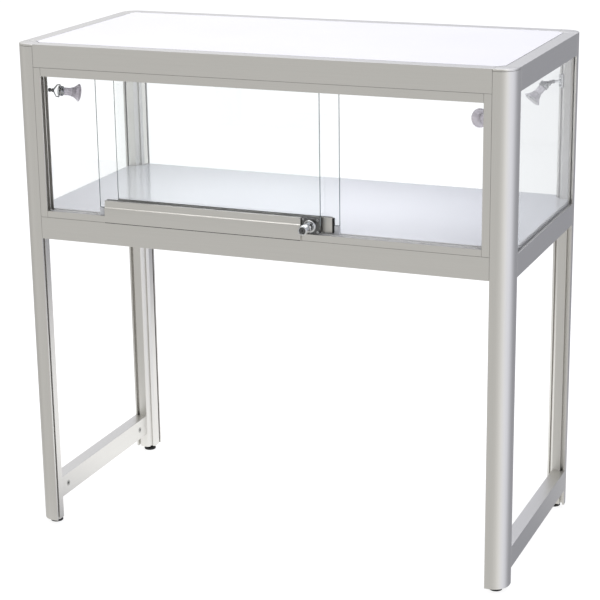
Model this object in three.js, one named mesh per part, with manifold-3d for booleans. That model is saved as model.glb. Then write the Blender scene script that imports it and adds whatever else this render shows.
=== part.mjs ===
// Counter-height glass display showcase: an extruded aluminium frame on four posts, with a glazed
// compartment, two sliding glass doors with a plunger lock, four adjustable lamps and levelling feet.
// Millimetres, +Z up. The origin is on the floor under the middle of the whole part, doors towards -Y.
import * as THREE from "three";
import { mergeVertices } from "three/addons/utils/BufferGeometryUtils.js";
import Module from "manifold-3d";

const wasm = await Module();
wasm.setup();

// ---- overall sizes ----
const width = 1000; // over the posts
const depth = 485; // over the posts
const height = 1000; // floor to the top of the frame
const deckHeight = 659; // floor to the top of the deck rails
const stretcherLift = 41; // floor to the underside of the stretchers
const jointGap = 0.3; // air between pieces that touch
const arcSteps = 6; // steps of each arc in the extruded outlines
const lathePoints = 24; // sides of the small turned pieces

// ---- corner posts ----
const postSize = 41;
const postFlat = 10; // flat strip beside the rounded outer corner
const seatDepth = 27; // flat inner face that a rail, track or jamb butts against
const postWall = 2.4;
const chamberEndWall = 3.4; // solid at each end of the post's chamber, before the slots
const footBoreRadius = 6.5;
const footToChamfer = 9; // from the middle of the inner chamfer to the foot axis, along X and Y
const diagonalSlotWidth = 6;
const diagonalSlotDepth = 5;
const capThickness = 4;

// ---- rails ----
const railHeight = 44;
const railWall = 2.2;
const ledgeReach = 10;
const ledgeThickness = 2.5;

// ---- glass and panels ----
const glassThickness = 5;
const glassClearance = 0.5; // on each side of a pane in its slot
const slotLip = 4; // outer wall of a glazing slot
const postSlotDepth = 10;
const railGrooveDepth = 9;
const glassInsertion = 8; // how far a pane reaches into each slot
const topPanelThickness = 10;
const deckPanelThickness = 8;

// ---- feet ----
const padRadius = 13;
const padHeight = 5;
const footHeight = 9; // floor to the underside of the posts
const nutRadius = 8;
const studRadius = 4;
const studLength = 24;
const insertWall = 2;
const insertLength = 22;

// ---- door tracks and jambs ----
const trackWall = 2;
const topTrackHeight = 17;
const bottomTrackHeight = 13;
const jambWidth = 15;

// ---- sliding doors ----
const doorGlassThickness = 4;
const doorGlassClearance = 0.4;
const doorOverlap = 10; // of the two closed panes
const doorReachIntoJamb = 11;
const doorReachIntoTrack = 10;
const outerDoorOpening = 126; // how far each door stands open at rest
const innerDoorOpening = 290;
const doorRailTop = 31; // top of a door rail over the bottom track
const doorRailLift = 2; // underside of a door rail over the bottom track
const doorPocketDepth = 15; // of the glass in a door rail
const doorRailWall = 1.3;
const pullFaceReach = 5; // pull rail in front of the frame
const pullGripRecess = 2.5;
const pullGripHeight = 15;
const pullSkirtThickness = 3.5;
const pullSkirtDrop = 11.5; // skirt below the top of the bottom track
const bumperThickness = 3;
const bumperWall = 1.3;
const bumperInset = 1; // below the top of the door rail
const glideLength = 9.6;
const glideWidth = 8;
const glideInset = 30; // trailing glide from the rail's trailing end
const strikeLength = 5;
const strikeHeight = 14;
const slidingClearance = 1; // between a moving door and what it passes

// ---- lock ----
const lockWidth = 36;
const lockFrontInset = 1; // lock body behind the frame's front
const collarRadius = 12;
const collarLength = 8;
const boreOverrun = 1; // cutters run this far past the faces they open
const plungerRadius = 9;
const plungerReach = 40; // plunger face in front of the frame
const plungerTravel = 7;
const boltRadius = 4;
const coreRadius = 6;
const coreLength = 24;
const keyholeWidth = 1.8;
const keyholeHeight = 7;
const keyholeDepth = 6;
const turnClearance = 0.3;

// ---- lamps ----
const lampHeight = 904;
const lampBaseWidth = 12;
const lampBaseHeight = 26;
const lampBaseThickness = 4;
const lampStemRadius = 2.5;
const lampReach = 19.8; // post chamfer to the ball
const ballRadius = 4;
const forkThickness = 6;
const forkArm = 1.8;
const forkHubHalf = 3.2;
const forkHubLength = 4;
const trunnionReach = 18; // ball to the trunnion axis
const drumRadius = 10;
const drumLength = 9;
const neckLength = 16;
const neckRadius = 7.5;
const reflectorRadius = 17.5;
const reflectorLength = 15;
const lampDroop = 10; // degrees that the fork's axis points down

// ---- derived places ----
const postRadius = postSize - postFlat;
const chamferMiddle = (postSize + seatDepth) / 2;
const footInset = chamferMiddle - footToChamfer;
const slotWidth = glassThickness + 2 * glassClearance;
const railTopBottom = height - railHeight;
const channel = (seatDepth - 3 * trackWall) / 2;
const outerLane = trackWall + channel / 2;
const innerLane = 2 * trackWall + 1.5 * channel;
const openingHalf = width / 2 - postSize - jambWidth;
const openingTop = railTopBottom - topTrackHeight;
const bottomTrackTop = deckHeight + jointGap + bottomTrackHeight;
const doorWidth = openingHalf + doorOverlap / 2 + doorReachIntoJamb;
const doorGlassBottom = bottomTrackTop + doorRailTop - doorPocketDepth;
const doorGlassTop = openingTop + doorReachIntoTrack;
const pocketHalf = doorGlassThickness / 2 + doorGlassClearance;
const doorRailHalf = pocketHalf + doorRailWall;
const lockCentreZ = bottomTrackTop + (doorRailTop + doorRailLift) / 2;

// ---- materials ----
const finish = (color, roughness, metalness, extra = {}) =>
  new THREE.MeshStandardMaterial({ color, roughness, metalness, ...extra });
const anodised = finish(0xbdbdb8, 0.38, 0.9);
const polished = finish(0x8f9294, 0.12, 1);
const clearGlass = finish(0xdfeee9, 0.03, 0, { transparent: true, opacity: 0.25 });
const whiteBoard = finish(0xf6f6f7, 0.25, 0);
const deckBoard = finish(0xdfe5ec, 0.15, 0);
const blackRubber = finish(0x151515, 0.7, 0);
const whiteNylon = finish(0xeef0ee, 0.5, 0);
const zinc = finish(0x9a9a98, 0.35, 0.8);
const lampGlass = finish(0xd6cfdd, 0.2, 0.3);

// ---- solids ----
function toSolid(geometry) {
  const bare = geometry.clone();
  bare.deleteAttribute("normal");
  bare.deleteAttribute("uv");
  const merged = mergeVertices(bare, 1e-4);
  const vertProperties = merged.attributes.position.array;
  const triVerts = new Uint32Array(merged.index.array);
  return new wasm.Manifold(new wasm.Mesh({ numProp: 3, vertProperties, triVerts }));
}

function toGeometry(solid) {
  const mesh = solid.getMesh();
  const geometry = new THREE.BufferGeometry();
  geometry.setAttribute("position", new THREE.BufferAttribute(mesh.vertProperties, 3));
  geometry.setIndex(new THREE.BufferAttribute(mesh.triVerts, 1));
  geometry.computeVertexNormals();
  return geometry;
}

const join = (first, ...others) =>
  toGeometry(others.reduce((sum, other) => sum.add(toSolid(other)), toSolid(first)));

const cut = (first, ...others) =>
  toGeometry(others.reduce((rest, other) => rest.subtract(toSolid(other)), toSolid(first)));

const polygon = (points) => new THREE.Shape(points.map(([x, y]) => new THREE.Vector2(x, y)));

const pathOf = (points) => new THREE.Path(points.map(([x, y]) => new THREE.Vector2(x, y)));

const extrude = (shape, length) =>
  new THREE.ExtrudeGeometry(shape, { depth: length, bevelEnabled: false, curveSegments: arcSteps });

// A section drawn as (inward from the face, up) becomes a bar along X, centred on the origin.
const profileToBar = new THREE.Matrix4().makeBasis(
  new THREE.Vector3(0, 1, 0),
  new THREE.Vector3(0, 0, 1),
  new THREE.Vector3(1, 0, 0),
);
const bar = (shape, length) =>
  extrude(shape, length).translate(0, 0, -length / 2).applyMatrix4(profileToBar);

const block = (x0, x1, y0, y1, z0, z1) =>
  new THREE.BoxGeometry(x1 - x0, y1 - y0, z1 - z0).translate(
    (x0 + x1) / 2,
    (y0 + y1) / 2,
    (z0 + z1) / 2,
  );

// A turned piece whose profile is [radius, distance along the axis]; the axis is +Z.
const turned = (profile) =>
  new THREE.LatheGeometry(
    profile.map(([radius, along]) => new THREE.Vector2(radius, along)),
    lathePoints,
  ).rotateX(Math.PI / 2);

const rod = (radius, length) =>
  new THREE.CylinderGeometry(radius, radius, length, lathePoints)
    .rotateX(Math.PI / 2)
    .translate(0, 0, length / 2);

function place(parent, name, geometry, material, x = 0, y = 0, z = 0) {
  const mesh = new THREE.Mesh(geometry, material);
  mesh.name = name;
  mesh.position.set(x, y, z);
  parent.add(mesh);
  return mesh;
}

function group(parent, x = 0, y = 0, z = 0) {
  const made = new THREE.Group();
  made.position.set(x, y, z);
  parent.add(made);
  return made;
}

const showcase = new THREE.Group();
showcase.position.y = plungerReach / 2; // the plunger stands out on the door side only

// ---- posts, caps, inserts and feet ----
function postOutline() {
  const along = Math.SQRT1_2 * (diagonalSlotWidth / 2);
  const into = Math.SQRT1_2 * diagonalSlotDepth;
  const shape = new THREE.Shape();
  shape.moveTo(postRadius, 0);
  shape.lineTo(postSize, 0);
  shape.lineTo(postSize, slotLip);
  shape.lineTo(postSize - postSlotDepth, slotLip);
  shape.lineTo(postSize - postSlotDepth, slotLip + slotWidth);
  shape.lineTo(postSize, slotLip + slotWidth);
  shape.lineTo(postSize, seatDepth);
  shape.lineTo(chamferMiddle + along, chamferMiddle - along);
  shape.lineTo(chamferMiddle + along - into, chamferMiddle - along - into);
  shape.lineTo(chamferMiddle - along - into, chamferMiddle + along - into);
  shape.lineTo(chamferMiddle - along, chamferMiddle + along);
  shape.lineTo(seatDepth, postSize);
  shape.lineTo(slotLip + slotWidth, postSize);
  shape.lineTo(slotLip + slotWidth, postSize - postSlotDepth);
  shape.lineTo(slotLip, postSize - postSlotDepth);
  shape.lineTo(slotLip, postSize);
  shape.lineTo(0, postSize);
  shape.lineTo(0, postRadius);
  shape.absarc(postRadius, postRadius, postRadius, Math.PI, 1.5 * Math.PI, false);
  return shape;
}

// The chamber follows the rounded corner, between the outer wall and the wall of the foot bore.
function postChamber() {
  const outer = postRadius - postWall;
  const inner = Math.SQRT2 * Math.abs(postRadius - footInset) + footBoreRadius + postWall;
  const slotOverrun = Math.max(0, postSlotDepth - postFlat);
  const margin = Math.asin((chamberEndWall + slotOverrun) / inner);
  const start = Math.PI + margin;
  const end = 1.5 * Math.PI - margin;
  const path = new THREE.Path();
  path.absarc(postRadius, postRadius, outer, start, end, false);
  path.absarc(postRadius, postRadius, inner, end, start, true);
  path.closePath();
  return path;
}

function capOutline() {
  const shape = new THREE.Shape();
  shape.moveTo(postRadius, 0);
  shape.lineTo(postSize, 0);
  shape.lineTo(postSize, seatDepth);
  shape.lineTo(seatDepth, postSize);
  shape.lineTo(0, postSize);
  shape.lineTo(0, postRadius);
  shape.absarc(postRadius, postRadius, postRadius, Math.PI, 1.5 * Math.PI, false);
  return shape;
}

function postGeometry() {
  const shape = postOutline();
  const bore = new THREE.Path();
  bore.absarc(footInset, footInset, footBoreRadius, 0, 2 * Math.PI, true);
  shape.holes.push(bore, postChamber());
  return extrude(shape, height - capThickness - jointGap - footHeight);
}

function footGeometry() {
  const soft = 1.2;
  return turned([
    [0, 0],
    [padRadius - soft, 0],
    [padRadius, soft],
    [padRadius, padHeight - soft],
    [padRadius - soft, padHeight],
    [nutRadius, padHeight],
    [nutRadius, footHeight - jointGap],
    [studRadius, footHeight - jointGap],
    [studRadius, padHeight + studLength],
    [0, padHeight + studLength],
  ]);
}

function insertGeometry() {
  const outer = footBoreRadius - jointGap;
  const inner = outer - insertWall;
  return turned([
    [inner, 0],
    [outer, 0],
    [outer, insertLength],
    [inner, insertLength],
    [inner, 0],
  ]);
}

const corners = [
  { name: "front_left", sideX: -1, sideY: -1, turn: 0, swing: 90, aim: 0 },
  { name: "front_right", sideX: 1, sideY: -1, turn: 90, swing: 90, aim: 0 },
  { name: "rear_right", sideX: 1, sideY: 1, turn: 180, swing: 0, aim: 35 },
  { name: "rear_left", sideX: -1, sideY: 1, turn: 270, swing: 0, aim: 20 },
];
const radians = THREE.MathUtils.degToRad;

// ---- lamps ----
function lampBase() {
  const plateHalf = lampBaseWidth / 2;
  const tongueHalf = diagonalSlotWidth / 2 - jointGap;
  const tongueEnd = 1 - diagonalSlotDepth;
  const plate = polygon([
    [tongueEnd, -tongueHalf],
    [jointGap, -tongueHalf],
    [jointGap, -plateHalf],
    [jointGap + lampBaseThickness, -plateHalf],
    [jointGap + lampBaseThickness, plateHalf],
    [jointGap, plateHalf],
    [jointGap, tongueHalf],
    [tongueEnd, tongueHalf],
  ]);
  const clip = extrude(plate, lampBaseHeight).translate(0, 0, -lampBaseHeight / 2);
  const stem = rod(lampStemRadius, lampReach - 1).rotateY(Math.PI / 2).translate(1, 0, 0);
  const ball = new THREE.SphereGeometry(ballRadius, 16, 12).translate(lampReach, 0, 0);
  return join(clip, stem, ball);
}

// The fork lies in its own XY plane: a hub next to the ball, and two arms that hold the drum.
function lampFork() {
  const hubStart = ballRadius + jointGap;
  const crotch = hubStart + forkHubLength;
  const inside = drumRadius + jointGap + 0.4;
  const outside = inside + forkArm;
  const armStart = crotch + inside / 2;
  const tip = trunnionReach + forkThickness / 2;
  const upper = [
    [tip, inside],
    [tip, outside],
    [armStart, outside],
    [crotch - 1, forkHubHalf],
    [hubStart, forkHubHalf],
  ];
  const lower = upper.map(([x, y]) => [x, -y]).reverse();
  const hollow = [
    [armStart + 0.4, -inside],
    [crotch, -1],
    [crotch, 1],
    [armStart + 0.4, inside],
  ];
  const shape = polygon([...upper, ...lower, ...hollow]);
  return extrude(shape, forkThickness).translate(0, 0, -forkThickness / 2);
}

// Socket drum, lamp neck and flared reflector with its front glass, turned about the aiming axis.
function lampHead() {
  const neckEnd = drumLength + neckLength;
  const rim = neckEnd + reflectorLength;
  const flare = [0.25, 0.5, 0.75, 1].map((t) => [
    neckRadius + (reflectorRadius - neckRadius) * Math.sin((t * Math.PI) / 2),
    neckEnd + reflectorLength * t * t,
  ]);
  return turned([
    [0, -1],
    [drumRadius - 1, -1],
    [drumRadius, 0],
    [drumRadius, drumLength - 1],
    [drumRadius - 1, drumLength],
    [neckRadius, drumLength],
    [neckRadius, neckEnd],
    ...flare,
    [reflectorRadius, rim + 2],
    [reflectorRadius - 1, rim + 2],
    [reflectorRadius - 2, rim + 1],
    [0, rim + 1],
  ]).rotateY(Math.PI / 2);
}

function addLamp(corner, cornerGroup) {
  const lamp = group(cornerGroup, chamferMiddle, chamferMiddle, lampHeight);
  lamp.rotation.z = Math.PI / 4;
  place(lamp, "lamp_base_" + corner.name, lampBase(), polished);
  const ball = group(lamp, lampReach, 0, 0);
  ball.rotation.y = radians(lampDroop);
  const fork = group(ball);
  fork.rotation.x = radians(corner.swing);
  place(fork, "lamp_fork_" + corner.name, lampFork(), polished);
  const head = place(fork, "lamp_head_" + corner.name, lampHead(), lampGlass, trunnionReach);
  head.rotation.y = radians(corner.aim);
}

for (const corner of corners) {
  const frame = group(showcase, (corner.sideX * width) / 2, (corner.sideY * depth) / 2, 0);
  frame.rotation.z = radians(corner.turn);
  place(frame, "post_" + corner.name, postGeometry(), anodised, 0, 0, footHeight);
  const cap = extrude(capOutline(), capThickness);
  place(frame, "post_cap_" + corner.name, cap, anodised, 0, 0, height - capThickness);
  place(frame, "foot_insert_" + corner.name, insertGeometry(), zinc, footInset, footInset, footHeight);
  place(frame, "levelling_foot_" + corner.name, footGeometry(), blackRubber, footInset, footInset);
  addLamp(corner, frame);
}

// ---- rails and stretchers ----
const sides = {
  front: { turn: 0, reach: depth / 2, length: width - 2 * postSize - 2 * jointGap },
  right: { turn: 90, reach: width / 2, length: depth - 2 * postSize - 2 * jointGap },
  rear: { turn: 180, reach: depth / 2, length: width - 2 * postSize - 2 * jointGap },
  left: { turn: 270, reach: width / 2, length: depth - 2 * postSize - 2 * jointGap },
};

// Outline with the groove in the top edge and a ledge whose top is at ledgeTop.
function groovedRail(ledgeTop) {
  const grooveEnd = slotLip + slotWidth;
  const aboveLedge = ledgeTop < railHeight ? [[seatDepth, ledgeTop]] : [];
  const shape = polygon([
    [0, 0],
    [seatDepth, 0],
    [seatDepth, ledgeTop - ledgeThickness],
    [seatDepth + ledgeReach, ledgeTop - ledgeThickness],
    [seatDepth + ledgeReach, ledgeTop],
    ...aboveLedge,
    [seatDepth, railHeight],
    [grooveEnd, railHeight],
    [grooveEnd, railHeight - railGrooveDepth],
    [slotLip, railHeight - railGrooveDepth],
    [slotLip, railHeight],
    [0, railHeight],
  ]);
  shape.holes.push(
    pathOf([
      [railWall, railWall],
      [seatDepth - railWall, railWall],
      [seatDepth - railWall, railHeight - railWall],
      [grooveEnd + railWall, railHeight - railWall],
      [grooveEnd + railWall, railHeight - railGrooveDepth - railWall],
      [railWall, railHeight - railGrooveDepth - railWall],
    ]),
  );
  return shape;
}

// The top rail is the grooved rail upside down, with its ledge under the top panel.
function topRailShape() {
  const flipped = (path) => path.getPoints().map(({ x, y }) => [x, railHeight - y]).reverse();
  const upright = groovedRail(topPanelThickness + jointGap + ledgeThickness);
  const shape = polygon(flipped(upright));
  shape.holes.push(pathOf(flipped(upright.holes[0])));
  return shape;
}

function stretcherShape() {
  const shape = polygon([
    [0, 0],
    [seatDepth, 0],
    [seatDepth, railHeight],
    [0, railHeight],
  ]);
  shape.holes.push(
    pathOf([
      [railWall, railWall],
      [seatDepth - railWall, railWall],
      [seatDepth - railWall, railHeight - railWall],
      [railWall, railHeight - railWall],
    ]),
  );
  return shape;
}

function addRail(name, sideName, shape, bottom) {
  const side = sides[sideName];
  const sideGroup = group(showcase);
  sideGroup.rotation.z = radians(side.turn);
  place(sideGroup, name + "_" + sideName, bar(shape, side.length), anodised, 0, -side.reach, bottom);
}

for (const sideName of Object.keys(sides)) {
  addRail("top_rail", sideName, topRailShape(), railTopBottom);
  addRail("deck_rail", sideName, groovedRail(railHeight), deckHeight - railHeight);
}
for (const sideName of ["left", "right"]) {
  addRail("stretcher", sideName, stretcherShape(), stretcherLift);
}

// ---- fixed glass ----
function addPane(sideName) {
  const side = sides[sideName];
  const sideGroup = group(showcase);
  sideGroup.rotation.z = radians(side.turn);
  const half = side.length / 2 + jointGap + glassInsertion;
  const front = slotLip + glassClearance;
  const bottom = deckHeight - glassInsertion;
  const top = railTopBottom + glassInsertion;
  const pane = block(-half, half, front, front + glassThickness, bottom, top);
  place(sideGroup, "glass_" + sideName, pane, clearGlass, 0, -side.reach, 0);
}
["left", "right", "rear"].forEach(addPane);

// ---- panels ----
// One quarter of an outline, given as distances from the outer faces, goes round all four corners.
function roundPanel(frontQuarter, rearQuarter) {
  const cornerOf = (quarter, sideX, sideY) =>
    quarter.map(([fromSide, fromEnd]) => [
      sideX * (width / 2 - fromSide),
      sideY * (depth / 2 - fromEnd),
    ]);
  return polygon([
    ...cornerOf(frontQuarter, -1, -1),
    ...cornerOf(frontQuarter, 1, -1).reverse(),
    ...cornerOf(rearQuarter, 1, 1),
    ...cornerOf(rearQuarter, -1, 1).reverse(),
  ]);
}

function addTopPanel() {
  const edge = seatDepth + jointGap;
  const clear = postSize + jointGap;
  const quarter = [
    [edge, clear],
    [clear, edge],
  ];
  const panel = extrude(roundPanel(quarter, quarter), topPanelThickness);
  place(showcase, "top_panel", panel, whiteBoard, 0, 0, height - topPanelThickness);
}

function addDeckPanel() {
  const glassSide = slotLip + glassClearance + glassThickness + glassClearance;
  const seat = seatDepth + jointGap;
  const clear = postSize + jointGap;
  const frontQuarter = [
    [glassSide, clear],
    [seat, clear],
    [clear, seat],
  ];
  const rearQuarter = [...frontQuarter, [clear, glassSide]];
  const panel = extrude(roundPanel(frontQuarter, rearQuarter), deckPanelThickness);
  place(showcase, "deck_panel", panel, deckBoard, 0, 0, deckHeight + jointGap);
}
addTopPanel();
addDeckPanel();

// ---- tracks and jambs ----
// A comb with three walls: its back is at 0 and the walls end at reach.
function comb(reach) {
  const walls = [0, trackWall + channel, 2 * (trackWall + channel)];
  const points = [
    [0, 0],
    [seatDepth, 0],
  ];
  for (const start of walls.slice().reverse()) {
    points.push([start + trackWall, reach], [start, reach]);
    if (start > 0) {
      points.push([start, trackWall], [start - channel, trackWall]);
    }
  }
  return polygon(points);
}

const doorside = group(showcase, 0, -depth / 2, 0); // Y counts inwards from the frame's front

function addTracks() {
  const length = 2 * (openingHalf - jointGap);
  const lower = bar(comb(bottomTrackHeight), length);
  place(doorside, "door_track_bottom", lower, anodised, 0, 0, deckHeight + jointGap);
  const upper = bar(comb(topTrackHeight - jointGap), length).rotateX(Math.PI);
  place(doorside, "door_track_top", upper, anodised, 0, seatDepth, railTopBottom - jointGap);
}

function addJambs() {
  const bottom = deckHeight + jointGap;
  const length = railTopBottom - jointGap - bottom;
  const upright = extrude(comb(jambWidth - jointGap), length).translate(-seatDepth / 2, 0, 0);
  const back = openingHalf + jambWidth - jointGap;
  const left = place(doorside, "door_jamb_left", upright, anodised, -back, seatDepth / 2, bottom);
  left.rotation.z = -Math.PI / 2;
  const right = place(doorside, "door_jamb_right", upright.clone(), anodised, back, seatDepth / 2, bottom);
  right.rotation.z = Math.PI / 2;
}
addTracks();
addJambs();

// ---- doors ----
// Each door is drawn with its pane from 0 (leading edge) to doorWidth (trailing edge).
const bumperStart = doorReachIntoJamb;
const doorRailStart = bumperStart + bumperThickness + jointGap;
const trackFloor = deckHeight + jointGap + trackWall;

function addGlides(door, name, lane, trailingEnd, mirror) {
  const bottom = trackFloor + jointGap;
  const half = glideWidth / 2;
  const span = (start, end) => (mirror ? [-end, -start] : [start, end]);
  const [leadA, leadB] = span(jointGap, jointGap + glideLength);
  const lead = block(leadA, leadB, lane - half, lane + half, bottom, doorGlassBottom - jointGap);
  place(door, name + "_glide_leading", lead, whiteNylon);
  const trailStart = trailingEnd - glideInset - glideLength;
  const [trailA, trailB] = span(trailStart, trailStart + glideLength);
  const trailTop = bottomTrackTop + doorRailLift - jointGap;
  const trail = block(trailA, trailB, lane - half, lane + half, bottom, trailTop);
  place(door, name + "_glide_trailing", trail, whiteNylon);
}

// A rubber pad on the rail's leading end, slotted for the pane that passes through it.
function addBumper(door, name, lane, mirror) {
  const start = mirror ? -bumperStart - bumperThickness : bumperStart;
  const end = start + bumperThickness;
  const half = pocketHalf + bumperWall;
  const bottom = bottomTrackTop + doorRailLift;
  const top = bottomTrackTop + doorRailTop - bumperInset;
  const pad = block(start, end, lane - half, lane + half, bottom, top);
  const slot = block(
    start - 1,
    end + 1,
    lane - pocketHalf,
    lane + pocketHalf,
    doorGlassBottom - jointGap,
    top + 1,
  );
  place(door, name + "_bumper", cut(pad, slot), blackRubber);
}

// The outer pane, with a round cut-out in its lower edge for the lock's plunger.
function outerGlass() {
  const cutout = plungerRadius + 1.5;
  const lockX = doorWidth - lockWidth / 2;
  const offset = doorGlassBottom - lockCentreZ;
  const swing = Math.asin(offset / cutout);
  const shape = new THREE.Shape();
  shape.moveTo(0, doorGlassBottom);
  shape.lineTo(lockX - Math.sqrt(cutout ** 2 - offset ** 2), doorGlassBottom);
  shape.absarc(lockX, lockCentreZ, cutout, Math.PI - swing, swing, true);
  shape.lineTo(doorWidth, doorGlassBottom);
  shape.lineTo(doorWidth, doorGlassTop);
  shape.lineTo(0, doorGlassTop);
  return extrude(shape, doorGlassThickness)
    .rotateX(Math.PI / 2)
    .translate(0, outerLane + doorGlassThickness / 2, 0);
}

// Section of the pull rail: pocket for the glass, finger recess at the top and a skirt over the track.
function pullRailShape() {
  const rear = outerLane + doorRailHalf;
  const top = doorRailTop;
  const gripBottom = top - pullGripHeight;
  const floor = top - doorPocketDepth - jointGap;
  const skirtRear = pullSkirtThickness - pullFaceReach;
  const shape = polygon([
    [-pullFaceReach, -pullSkirtDrop],
    [skirtRear, -pullSkirtDrop],
    [skirtRear, doorRailLift],
    [rear, doorRailLift],
    [rear, top],
    [outerLane + pocketHalf, top],
    [outerLane + pocketHalf, floor],
    [outerLane - pocketHalf, floor],
    [outerLane - pocketHalf, top],
    [pullGripRecess - pullFaceReach, top],
    [pullGripRecess - pullFaceReach, gripBottom + pullGripRecess],
    [-pullFaceReach, gripBottom],
  ]);
  shape.holes.push(
    pathOf([
      [-pullFaceReach + 2, doorRailLift + 2],
      [rear - doorRailWall - 1, doorRailLift + 2],
      [rear - doorRailWall - 1, floor - 1.5],
      [-pullFaceReach + 2, floor - 1.5],
    ]),
  );
  return shape;
}

function lockBody(start) {
  const rear = outerLane + doorRailHalf;
  const centreX = start + lockWidth / 2;
  const bottom = bottomTrackTop + doorRailLift;
  const top = bottomTrackTop + doorRailTop;
  const inwards = (geometry, y) => geometry.rotateX(-Math.PI / 2).translate(centreX, y, lockCentreZ);
  const body = block(start, start + lockWidth, lockFrontInset, rear, bottom, top);
  const collar = inwards(rod(collarRadius, collarLength), lockFrontInset - collarLength + boreOverrun);
  const bore = rod(plungerRadius + turnClearance, collarLength + plungerTravel + turnClearance);
  const boltHole = rod(boltRadius + turnClearance, rear + boreOverrun);
  const pocket = block(
    start - boreOverrun,
    start + lockWidth + boreOverrun,
    outerLane - pocketHalf,
    outerLane + pocketHalf,
    doorGlassBottom - jointGap,
    top + boreOverrun,
  );
  return cut(
    join(body, collar),
    inwards(bore, lockFrontInset - collarLength + boreOverrun),
    inwards(boltHole, 0),
    pocket,
  );
}

function plunger() {
  const shoulder = plungerReach + lockFrontInset;
  const boltEnd = plungerReach + outerLane + doorRailHalf - plungerTravel / 2;
  const recess = coreLength + 2 * turnClearance;
  return turned([
    [0, recess],
    [coreRadius + turnClearance, recess],
    [coreRadius + turnClearance, 0],
    [plungerRadius - 1, 0],
    [plungerRadius, 1],
    [plungerRadius, shoulder],
    [boltRadius, shoulder],
    [boltRadius, boltEnd],
    [0, boltEnd],
  ]);
}

function keyedCore() {
  const keyhole = block(
    -keyholeWidth / 2,
    keyholeWidth / 2,
    -keyholeHeight / 2,
    keyholeHeight / 2,
    -1,
    keyholeDepth,
  );
  return cut(rod(coreRadius, coreLength), keyhole);
}

const outerDoor = group(doorside, -openingHalf - doorReachIntoJamb + outerDoorOpening, 0, 0);
const innerDoor = group(doorside, openingHalf + doorReachIntoJamb - innerDoorOpening, 0, 0);

function addOuterDoor() {
  place(outerDoor, "outer_door_glass", outerGlass(), clearGlass);
  const lockStart = doorWidth - lockWidth;
  const railEnd = lockStart - jointGap;
  const middle = (doorRailStart + railEnd) / 2;
  const rail = bar(pullRailShape(), railEnd - doorRailStart);
  place(outerDoor, "outer_door_pull_rail", rail, anodised, middle, 0, bottomTrackTop);
  addGlides(outerDoor, "outer_door", outerLane, railEnd, false);
  addBumper(outerDoor, "outer_door", outerLane, false);
  place(outerDoor, "lock_body", lockBody(lockStart), polished);
  const lockX = doorWidth - lockWidth / 2;
  const lock = group(outerDoor, lockX, -plungerReach, lockCentreZ);
  lock.rotation.x = -Math.PI / 2;
  place(lock, "lock_plunger", plunger(), polished);
  place(lock, "lock_core", keyedCore(), polished, 0, 0, turnClearance);
}

// The inner door's rail holds the glass in a plain channel; a strike stands out at its trailing end.
function innerRail() {
  const length = doorWidth - doorRailStart;
  const floor = doorRailTop - doorPocketDepth - jointGap;
  const channelShape = polygon([
    [-doorRailHalf, doorRailLift],
    [doorRailHalf, doorRailLift],
    [doorRailHalf, doorRailTop],
    [pocketHalf, doorRailTop],
    [pocketHalf, floor],
    [-pocketHalf, floor],
    [-pocketHalf, doorRailTop],
    [-doorRailHalf, doorRailTop],
  ]);
  const rail = bar(channelShape, length).translate(length / 2, innerLane, bottomTrackTop);
  const strikeFront = outerLane + doorRailHalf + slidingClearance;
  const strike = block(
    0,
    strikeLength,
    strikeFront,
    innerLane - doorRailHalf + 0.5,
    lockCentreZ - strikeHeight / 2,
    lockCentreZ + strikeHeight / 2,
  );
  return join(rail, strike);
}

function addInnerDoor() {
  const bottom = doorGlassBottom;
  const front = innerLane - doorGlassThickness / 2;
  const pane = block(-doorWidth, 0, front, front + doorGlassThickness, bottom, doorGlassTop);
  place(innerDoor, "inner_door_glass", pane, clearGlass);
  place(innerDoor, "inner_door_rail", innerRail(), anodised, -doorWidth);
  addGlides(innerDoor, "inner_door", innerLane, doorWidth, true);
  addBumper(innerDoor, "inner_door", innerLane, true);
}
addOuterDoor();
addInnerDoor();

export default showcase;
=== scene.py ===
import math

import bmesh
import bpy
from mathutils import Matrix, Vector


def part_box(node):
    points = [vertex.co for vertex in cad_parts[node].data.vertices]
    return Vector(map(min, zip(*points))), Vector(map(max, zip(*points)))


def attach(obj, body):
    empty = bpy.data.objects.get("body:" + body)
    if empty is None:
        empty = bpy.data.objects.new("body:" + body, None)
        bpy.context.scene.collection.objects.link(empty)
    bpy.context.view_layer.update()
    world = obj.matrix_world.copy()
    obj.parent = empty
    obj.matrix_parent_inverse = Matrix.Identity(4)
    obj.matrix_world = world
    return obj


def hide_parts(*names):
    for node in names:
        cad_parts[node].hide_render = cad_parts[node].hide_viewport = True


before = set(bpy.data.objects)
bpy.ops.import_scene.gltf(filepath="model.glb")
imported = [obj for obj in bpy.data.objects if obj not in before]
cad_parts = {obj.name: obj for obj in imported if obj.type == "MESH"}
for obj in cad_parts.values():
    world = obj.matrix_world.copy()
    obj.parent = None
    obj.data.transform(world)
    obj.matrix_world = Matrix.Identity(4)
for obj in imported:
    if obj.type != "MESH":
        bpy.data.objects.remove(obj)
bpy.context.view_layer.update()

bl_info = {
    "name": "Glass display showcase",
    "version": (1, 0, 0),
    "blender": (4, 5, 0),
    "location": "View3D > Sidebar > Showcase",
    "description": "Builds the visible pieces of a glass display showcase around its CAD frame",
    "category": "Object",
}

# ---------------------------------------------------------------- places read from the CAD frame
CORNERS = {"front_left": 0, "front_right": 90, "rear_right": 180, "rear_left": 270}
SIDES = {"front": 0, "right": 90, "rear": 180, "left": 270}
POST_LOW = Vector(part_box("post_front_left")[0])
POST_HIGH = Vector(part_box("post_rear_right")[1])
CENTRE_Y = (POST_LOW.y + POST_HIGH.y) / 2
TRACK_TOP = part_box("door_track_bottom")[1].z
FRONT_Y = POST_LOW.y


def turn(axis, degrees):
    return Matrix.Rotation(math.radians(degrees), 4, axis)


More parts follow.
